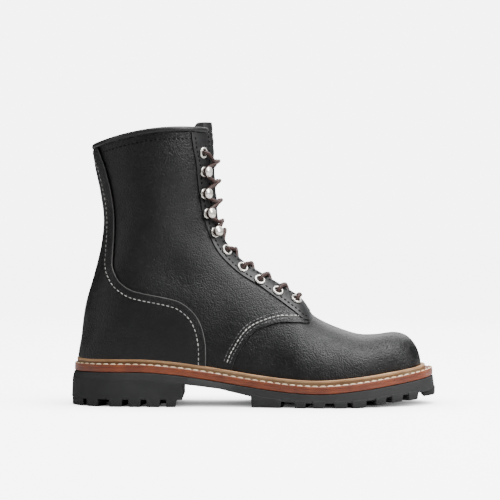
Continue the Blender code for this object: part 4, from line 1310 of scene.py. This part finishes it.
def welt_seam(inset):
    """The rows along the flat of the welt, outer and inner."""
    share = np.linspace(0.004, 0.996, welt_steps)
    seams = []
    for column in (1, 2):
        flat = outline_inset(share, column, inset)
        line = np.stack((flat[:, 0] - middle, flat[:, 1],
                         rubber_top(flat[:, 0]) + welt_top + 0.0002), axis=-1)
        seams.append(Seam(line, np.tile((0.0, 0.0, 1.0), (welt_steps, 1))))
    return seams


sew("welt_stitches", welt_seam(edge_set + 0.0008), cream_thread, 0.00055, pitch=0.0062,
    dash=0.0050)


# Eyelets and hooks
# Rolled nickel eyelets set through the facings, and above them hooks: a round flange, a short
# neck and a domed cap that the lace goes behind. The topmost pair are eyelets again.

eyelet_radius = 0.00475
eyelet_hole = 0.0030
eyelet_barrel = 0.0036
hook_cap = 0.0043
hook_stem = 0.0009
LacePoint = namedtuple("LacePoint", "kind along up")
lace_points = [LacePoint(*row) for row in (
    ("eyelet", 0.627, 0.595), ("eyelet", 0.573, 0.641), ("eyelet", 0.520, 0.700),
    ("eyelet", 0.470, 0.768), ("eyelet", 0.424, 0.868), ("hook", 0.389, 0.973),
    ("hook", 0.367, 1.135), ("hook", 0.358, 1.325), ("hook", 0.357, 1.540),
    ("eyelet", 0.356, 1.726),
)]
Fitting = namedtuple("Fitting", "kind side place spot out ahead inward")


def find_fitting(row, side, turn):
    """Where a fitting sits on the facing, worked back from where it is seen."""
    seen = np.array(side_place(row.along, row.up), float)
    seat = gap + eyestay_thick
    aim = seen.copy()
    for _ in range(5):
        place, angle = on_last(*aim)
        spot = skin(place[0], angle[0], seat + gap)
        aim += 0.9 * (seen - np.array((spot[0] + middle, spot[2])))
    place, angle = place[0], turn * angle[0]
    spot, out = skin(place, angle, seat), last_normal(place, angle)
    ahead = last_point(place + 0.2, angle) - last_point(place - 0.2, angle)
    ahead -= out * np.dot(ahead, out)
    ahead /= np.linalg.norm(ahead)
    inward = turn * np.cross(ahead, out)
    return Fitting(row.kind, side, place, spot, out, ahead, inward)


fittings = {(number, side): find_fitting(row, side, turn)
            for number, row in enumerate(lace_points) for side, turn in turns.items()}


def nickel_finish():
    """Bright warm nickel with fine turning marks and a little dulling."""
    material, tree, shader = new_finish("nickel", Metallic=0.65)
    place = add(tree, "TexCoord").outputs["Object"]
    dull = noise(tree, place, 160.0, 2.0)
    two_tone(tree, shader, dull, 0.3, (0.74, 0.70, 0.62), 0.65, (0.93, 0.91, 0.86))
    gloss_by(tree, shader, dull, 0.22, 0.12)
    bump_by(tree, shader, noise(tree, place, 900.0, 3.0), 0.00003, 0.4)
    return material


nickel = nickel_finish()
turned_steps = 40
seat_rise = 0.00002


def turned(name, profile, fitting):
    """A piece turned about the fitting's own axis from rows of radius and height."""
    rows = np.array(profile)

    def shape(across, along, lift):
        row = np.rint(across * (len(rows) - 1)).astype(int)
        turn = 2 * np.pi * along
        side = np.cross(fitting.ahead, fitting.out)
        radial = np.cos(turn)[:, None] * fitting.ahead + np.sin(turn)[:, None] * side
        return fitting.spot + rows[row, 0][:, None] * radial + rows[row, 1][:, None] * fitting.out

    piece = lay_grid(name, len(rows) - 1, turned_steps, shape)
    merge_close(piece)
    face_outwards(piece)
    return piece


def arc(radius_0, radius_1, base, rise, count=9):
    """Profile rows of a half round from one radius to another."""
    turn = np.linspace(0, math.pi, count)
    middle_radius, half = (radius_0 + radius_1) / 2, (radius_1 - radius_0) / 2
    return [(middle_radius - half * math.cos(t), base + rise * math.sin(t)) for t in turn]


barrel_end = -eyestay_thick - gap - upper_wall + 0.0008
eyelet_profile = [(eyelet_hole + 0.0002, barrel_end)] + arc(eyelet_hole, eyelet_radius, gap, 0.0011)
eyelet_profile += [(eyelet_radius - 0.0002, seat_rise), (eyelet_barrel, seat_rise),
                   (eyelet_barrel, barrel_end), (eyelet_hole + 0.0002, barrel_end)]
dome = [(hook_cap * math.cos(t), 0.0057 + 0.0019 * math.sin(t))
        for t in np.linspace(-0.5 * math.pi * 0.55, 0.5 * math.pi, 12)]
flange = arc(0.0024, eyelet_radius - 0.0004, gap, 0.0008)
hook_profile = [(0.0, gap), (hook_stem + 0.0004, gap + 0.0001)] + flange
hook_profile += [(eyelet_radius - 0.0006, seat_rise), (0.0005, seat_rise), (0.0, seat_rise)]
neck_profile = [(0.0, gap), (hook_stem + 0.0006, gap), (hook_stem, gap + 0.0010),
                (hook_stem, 0.0038), (hook_stem + 0.0006, 0.0047)] + dome
for (number, side), fitting in fittings.items():
    name = fitting.kind + "_" + side + "_" + str(number + 1)
    if fitting.kind == "eyelet":
        piece = turned(name, eyelet_profile, fitting)
    else:
        piece = turned(name, hook_profile, fitting)
        join_pieces([piece, turned("neck", neck_profile, fitting)])
    finish_piece(piece, nickel, (name,), 50)


# Laces
# One round braided cord, dark red-brown. It comes up through the five lower eyelets, crosses
# over the tongue, goes behind each hook and down into the top eyelets, where its ends stop.

lace_radius = 0.0016
lace_length_in_braids = 460.0
over_edge = eyestay_thick + lace_radius + 0.0002


def lace_floor(place):
    """Height of the lace's middle where it lies on the tongue."""
    return tongue_bulge(place) - tongue_drop - upper_wall - gap + lace_radius + 0.0002


def lace_finish():
    """Tight braid of two thread directions, worked on the cord's own length and round, with painted
    shade in its hollows and a painted highlight on its crowns.
    """
    material, tree, shader = new_finish("braided_lace")
    parts = add(tree, "SeparateXYZ")
    tree.links.new(add(tree, "TexCoord").outputs["UV"], parts.inputs["Vector"])
    round_it = math_node(tree, "MULTIPLY", parts.outputs["X"], 2 * math.pi * 3)
    along = math_node(tree, "MULTIPLY", parts.outputs["Y"], 2 * math.pi * lace_length_in_braids)
    left = math_node(tree, "SINE", math_node(tree, "ADD", round_it, along))
    right = math_node(tree, "SINE", math_node(tree, "SUBTRACT", round_it, along))
    braid = math_node(tree, "MULTIPLY", left, right)
    share = math_node(tree, "MULTIPLY_ADD", braid, 0.5, 0.5)
    # The braid's hollows are coloured darker and its crowns lighter: painted shade and painted
    # highlight on the dark red-brown cord.
    two_tone(tree, shader, share, 0.20, (0.008, 0.004, 0.0035), 0.85, (0.058, 0.020, 0.014))
    gloss_by(tree, shader, share, -0.15, 0.70)
    bump_by(tree, shader, share, 0.00022)
    return material


def throat_crossing(place, turn, offset, trim=0.0):
    """A point over the throat's edge."""
    return skin(place, turn * throat_angle(np.array(place), trim=trim), offset)


def lace_route(first_side):
    """Points of one half of the lace, from the middle of the throat to its top eyelet."""
    other = {"outer": "inner", "inner": "outer"}
    top = len(lace_points) - 1
    side = first_side
    start = fittings[0, side].place - 0.15
    route = [skin(start, 0.0, lace_floor(start))]
    for row in range(top + 1):
        f, turn = fittings[row, side], turns[side]
        rise = max(f.place - fittings[max(row - 1, 0), other[side]].place, 0.6)
        low_hook = row > 0 and fittings[row - 1, side].kind == "hook"
        arrive = f.place - (0.76 if low_hook else 0.25) * rise
        cross = f.place - (0.85 if low_hook else 0.38) * rise
        if row:
            lift = 0.0021 if side == "inner" else 0.0
            route.append(skin(cross, 0.0, lace_floor(cross) + lift))
        high = over_edge + (0.0014 if low_hook else 0.0)
        route.append(throat_crossing(arrive, turn, high))
        if f.kind == "hook":
            reach = hook_stem + lace_radius + 0.0001
            centre = f.spot + f.out * 0.0031
            route += [centre - f.ahead * reach, centre - f.inward * reach, centre + f.ahead * reach]
            leave = f.place + 0.08 * (fittings[row + 1, other[side]].place - f.place)
            route.append(throat_crossing(leave, turn, over_edge + 0.0010))
        else:
            route += [f.spot + f.out * 0.0027 + f.inward * 0.0024,
                      f.spot + f.out * 0.0002 + f.inward * 0.0002, f.spot - f.out * 0.0050]
            if row < top:
                leave = f.place + 0.35
                route += [f.spot - f.out * 0.0062 + f.inward * 0.0020,
                          throat_crossing(leave, turn, lace_floor(leave) - 0.0008, -0.0024)]
        side = other[side]
    return np.array([np.asarray(p, float).reshape(3) for p in route])


def soft_path(points, spacing, rounds):
    """A smooth cord line through points, with its turns eased."""
    dense = smooth_rows(points, np.linspace(0, len(points) - 1, 40 * len(points)))
    run = run_along(dense)
    line = read_along(np.linspace(0, run[-1], int(run[-1] / spacing)), run, dense)
    for _ in range(rounds):
        line[1:-1] = (line[:-2] + line[1:-1] + line[2:]) / 3
    return line


braid_cord = lace_finish()
crossings = ["lace_crossing_" + str(k + 1) for k in range(len(lace_points) - 1)]
route = np.concatenate((lace_route("outer")[::-1], lace_route("inner")[1:]))
laces = cord("laces", soft_path(route, 0.0007, 13), lace_radius, 12)
finish_piece(laces, braid_cord, crossings, 70)
